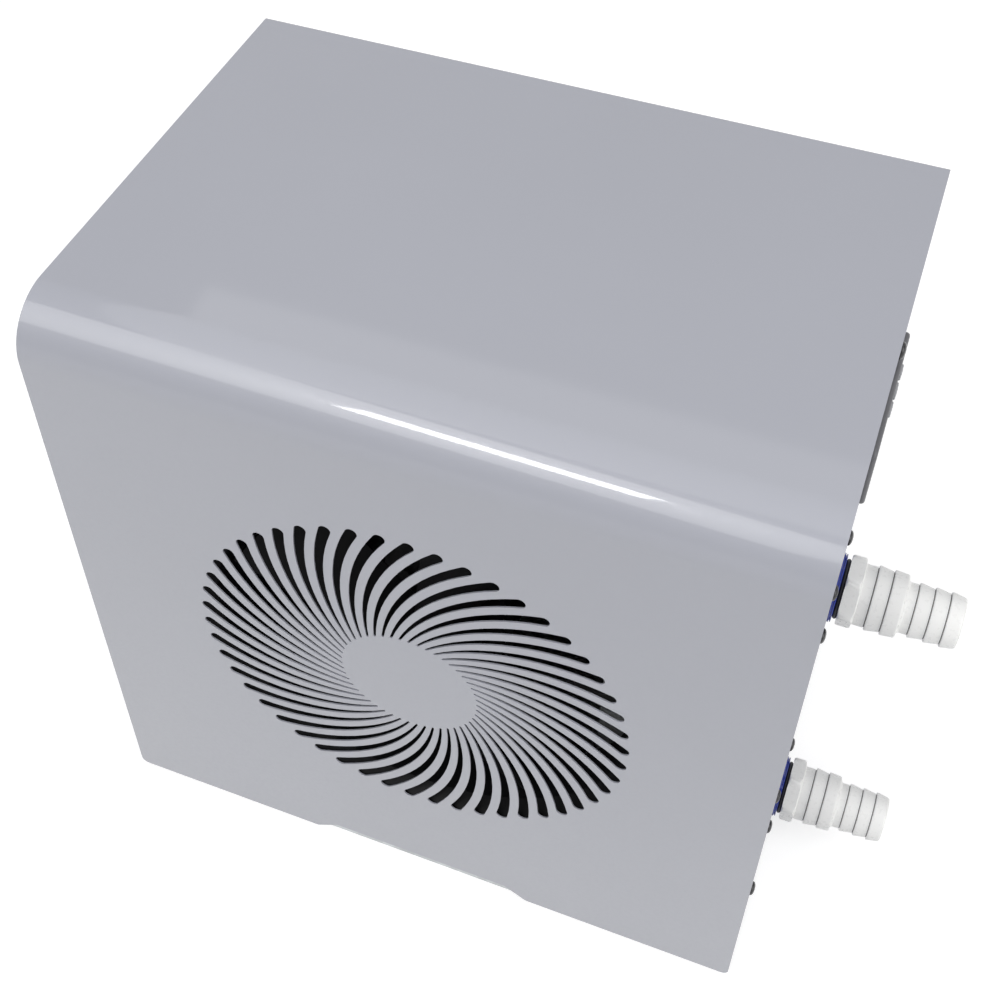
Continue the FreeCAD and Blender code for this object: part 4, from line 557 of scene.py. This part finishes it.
def add_fins():
    """The real coil's close, rippled fins in place of the CAD's few flat ones."""
    low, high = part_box("evaporator_fins")
    meshes = []
    for number in range(int((high.x - low.x) / FIN_PITCH)):
        x = low.x + FIN_RIPPLE + FIN_PITCH * (number + FIN_START)
        line = [(x + FIN_RIPPLE * (-1) ** fold, low.y + (high.y - low.y) * fold / FIN_FOLDS)
                for fold in range(FIN_FOLDS + 1)]
        loop = line + [(px + FIN_THICKNESS, py) for px, py in reversed(line)]
        points = [(px, py, pz) for pz in (low.z, high.z) for px, py in loop]
        total = len(loop)
        faces = []
        for step in range(total):
            after = (step + 1) % total
            faces.append((step, after, total + after, total + step))
        for level in (0, total):
            for fold in range(FIN_FOLDS):
                faces.append((level + fold, level + fold + 1, level + total - 2 - fold,
                              level + total - 1 - fold))
        meshes.append((points, faces))
    add_piece("coil_fins", *outward(*together(meshes)), "fin_aluminium", sharp=10,
              replaced=("evaporator_fins",))


# ------------------------------------------------------------------ control panel marks

def arc_band(radius, width, start, end, steps=18):
    """The outline of a part of a ring, as (y, z) points about its centre."""
    turns = [math.radians(start + (end - start) * step / steps) for step in range(steps + 1)]
    outer = [((radius + width / 2) * math.cos(turn), (radius + width / 2) * math.sin(turn))
             for turn in turns]
    inner = [((radius - width / 2) * math.cos(turn), (radius - width / 2) * math.sin(turn))
             for turn in reversed(turns)]
    return outer + inner


def bar(y, z, width, height):
    """The outline of an upright rectangle about a point."""
    return [(y - width / 2, z - height / 2), (y + width / 2, z - height / 2),
            (y + width / 2, z + height / 2), (y - width / 2, z + height / 2)]


# Symbols as outlines of (y, z) in millimetres about the middle of each button.
SYMBOLS = {
    "power_button": [arc_band(1.5, 0.42, 125, 415), bar(0, 1.3, 0.42, 1.7)],
    "mode_button": [bar(0, 1.1, 2.6, 0.4), bar(0, 0, 2.6, 0.4), bar(0, -1.1, 2.6, 0.4)],
    "down_button": [[(-1.5, 0.8), (0, -1.2), (1.5, 0.8)]],
    "up_button": [[(-1.5, -0.8), (1.5, -0.8), (0, 1.2)]],
}


# How deep the symbols are sunk in the buttons and how far they stand out, in millimetres.
SYMBOL_SINK, SYMBOL_RISE = 0.1, 0.08


def add_button_symbols():
    """Generic symbols for power, menu, down and up, each riding on its own button."""
    for body, outlines in SYMBOLS.items():
        low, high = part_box(body)
        middle = (low + high) / 2
        meshes = [prism([(middle.y + y * MM, middle.z + z * MM) for y, z in outline],
                        high.x - SYMBOL_SINK * MM, high.x + SYMBOL_RISE * MM) for outline in outlines]
        piece = add_piece(body + "_symbol", *outward(*together(meshes)), "bezel_plastic", body=body)
        piece.data.materials[0] = SYMBOL


# The digits: half their height, their width, a bar's thickness and how far apart they stand,
# in millimetres, then how far they lean for each millimetre of height.
DIGIT_HALF, DIGIT_WIDTH, BAR_THICKNESS, DIGIT_PITCH, DIGIT_LEAN = 4.6, 5.4, 0.9, 9.5, 0.08
# The share of its thickness by which a bar is shorter than its place.
BAR_GAP = 0.8
SEGMENT_SINK, SEGMENT_RISE = 0.05, 0.02


def add_display_segments():
    """The unlit bars of three digits on the dark window."""
    low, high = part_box("display_window")
    middle = (low + high) / 2
    meshes = []
    for place in (-DIGIT_PITCH, 0, DIGIT_PITCH):
        spots = [(0, DIGIT_HALF, 0), (0, 0, 0), (0, -DIGIT_HALF, 0)]
        spots += [(side * DIGIT_WIDTH / 2, level * DIGIT_HALF / 2, 1)
                  for side in (-1, 1) for level in (-1, 1)]
        for y, z, upright in spots:
            length = (DIGIT_HALF if upright else DIGIT_WIDTH) - BAR_THICKNESS * BAR_GAP
            half, tip = BAR_THICKNESS / 2, length / 2
            outline = [(-tip, 0), (-tip + half, -half), (tip - half, -half), (tip, 0),
                       (tip - half, half), (-tip + half, half)]
            if upright:
                outline = [(-across, along) for along, across in outline]
            corners = [(middle.y + (place + y + dy + DIGIT_LEAN * (z + dz)) * MM,
                        middle.z + (z + dz) * MM) for dy, dz in outline]
            meshes.append(prism(corners, high.x - SEGMENT_SINK * MM, high.x + SEGMENT_RISE * MM))
    piece = add_piece("display_segments", *outward(*together(meshes)), "window")
    piece.data.materials[0] = SEGMENT


# ------------------------------------------------------------------ stage, lights, camera

# The world's strength where it is seen and where it only lights the object.
WORLD_SEEN, WORLD_UNSEEN = 1.0, 0.35
# The floor: its size and depth in metres, its grey, and its glow where it is seen.
FLOOR_SIZE, FLOOR_DEPTH, FLOOR_GREY, FLOOR_GLOW = 14, 0.0005, 0.6, 0.62
# The lamps: what each looks at, the direction it stands in, its distance, width and height
# in metres, and its power in watts.
LAMPS = {
    "ceiling": ("middle", (0.0, 0.15, 1.0), 2.6, 3.0, 3.0, 22),
    "key": ("bend", (-0.33, -0.68, 0.73), 3.1, 3.0, 1.9, 35),
    "fill": ("middle", (1.5, -0.5, 0.9), 3.0, 2.0, 2.4, 42),
    "strip": ("bend", (-0.208, -0.69, 0.724), 2.04, 0.59, 0.26, 9.0),
}
BEND_INSET = 0.01
# The camera: sensor and lens in millimetres, its shift, its seat in metres from the front
# sheet's lowest left corner, and its forward and right directions.
SENSOR_WIDTH, LENS = 36, 54.54
SHIFT_X, SHIFT_Y = 0.0197, -0.1188
CAMERA_SEAT = (0.4322, -0.4378, 0.9793)
CAMERA_FORWARD = (-0.2514, 0.6475, -0.7194)
CAMERA_RIGHT = (0.9327, 0.3607, -0.0013)


def camera_ray_mix(tree, seen, unseen):
    """Use one shader for camera, mirror and glass rays, and another for light on the object."""
    path = tree.nodes.new("ShaderNodeLightPath")
    either = tree.nodes.new("ShaderNodeMath")
    either.operation = "MAXIMUM"
    any_seen = tree.nodes.new("ShaderNodeMath")
    any_seen.operation = "MAXIMUM"
    mix = tree.nodes.new("ShaderNodeMixShader")
    tree.links.new(path.outputs["Is Camera Ray"], either.inputs[0])
    tree.links.new(path.outputs["Is Glossy Ray"], either.inputs[1])
    tree.links.new(either.outputs[0], any_seen.inputs[0])
    tree.links.new(path.outputs["Is Transmission Ray"], any_seen.inputs[1])
    tree.links.new(any_seen.outputs[0], mix.inputs[0])
    tree.links.new(unseen, mix.inputs[1])
    tree.links.new(seen, mix.inputs[2])
    return mix.outputs[0]


def add_world():
    """A pale surround that is dimmer as a light than it looks."""
    world = bpy.data.worlds.new("studio")
    bpy.context.scene.world = world
    world.use_nodes = True
    tree = world.node_tree
    tree.nodes.clear()
    output = tree.nodes.new("ShaderNodeOutputWorld")
    seen = tree.nodes.new("ShaderNodeBackground")
    seen.inputs["Strength"].default_value = WORLD_SEEN
    unseen = tree.nodes.new("ShaderNodeBackground")
    unseen.inputs["Strength"].default_value = WORLD_UNSEEN
    mixed = camera_ray_mix(tree, seen.outputs[0], unseen.outputs[0])
    tree.links.new(mixed, output.inputs["Surface"])


def add_floor():
    """A pale floor that looks white to the camera and keeps the object's soft shadow."""
    bpy.ops.mesh.primitive_plane_add(size=FLOOR_SIZE, location=(0, 0, -FLOOR_DEPTH))
    floor = bpy.context.object
    floor.name = "floor"
    material = bpy.data.materials.new("floor")
    material.use_nodes = True
    tree = material.node_tree
    tree.nodes.clear()
    output = tree.nodes.new("ShaderNodeOutputMaterial")
    pale = tree.nodes.new("ShaderNodeBsdfDiffuse")
    pale.inputs["Color"].default_value = (FLOOR_GREY, FLOOR_GREY, FLOOR_GREY, 1)
    glow = tree.nodes.new("ShaderNodeEmission")
    glow.inputs["Strength"].default_value = FLOOR_GLOW
    both = tree.nodes.new("ShaderNodeAddShader")
    tree.links.new(pale.outputs[0], both.inputs[0])
    tree.links.new(glow.outputs[0], both.inputs[1])
    tree.links.new(camera_ray_mix(tree, both.outputs[0], pale.outputs[0]), output.inputs["Surface"])
    floor.data.materials.append(material)


def add_softbox(name, target, direction, distance, width, height, power):
    """An area lamp that looks at a point from a direction."""
    lamp = bpy.data.lights.new(name, "AREA")
    lamp.shape = "RECTANGLE"
    lamp.size = width
    lamp.size_y = height
    lamp.energy = power
    box = bpy.data.objects.new(name, lamp)
    bpy.context.scene.collection.objects.link(box)
    box.location = Vector(target) + Vector(direction).normalized() * distance
    box.rotation_euler = (-Vector(direction)).to_track_quat("-Z", "Y").to_euler()
    box.visible_camera = False


def add_lights():
    """A wide ceiling, a key and a narrow strip for the bend, and a fill for the right side."""
    low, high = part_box("wrap_cover")
    bend = Vector(((low.x + high.x) / 2, low.y + BEND_INSET, high.z - BEND_INSET))
    targets = {"bend": bend, "middle": (low + high) / 2}
    for name, (target, *placing) in LAMPS.items():
        add_softbox(name, targets[target], *placing)


def add_camera():
    """The view from above the front right edge, with a normal lens."""
    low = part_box("wrap_cover")[0]
    camera = bpy.data.cameras.new("camera")
    camera.sensor_width = SENSOR_WIDTH
    camera.lens = LENS
    camera.shift_x = SHIFT_X
    camera.shift_y = SHIFT_Y
    seat = bpy.data.objects.new("camera", camera)
    bpy.context.scene.collection.objects.link(seat)
    forward = Vector(CAMERA_FORWARD).normalized()
    right = Vector(CAMERA_RIGHT).normalized()
    up = right.cross(forward).normalized()
    right = forward.cross(up)
    turn = Matrix((right, up, -forward)).transposed()
    place = low + Vector(CAMERA_SEAT)
    seat.matrix_world = Matrix.Translation(place) @ turn.to_4x4()
    bpy.context.scene.camera = seat


finish_cad_nodes()
soften_sheet("wrap_cover", "casing_paint")
add_hose_tails()
add_port_rings()
add_screws()
add_fins()
add_button_symbols()
add_display_segments()
add_world()
add_floor()
add_lights()
add_camera()
bpy.context.scene.view_settings.view_transform = "Standard"
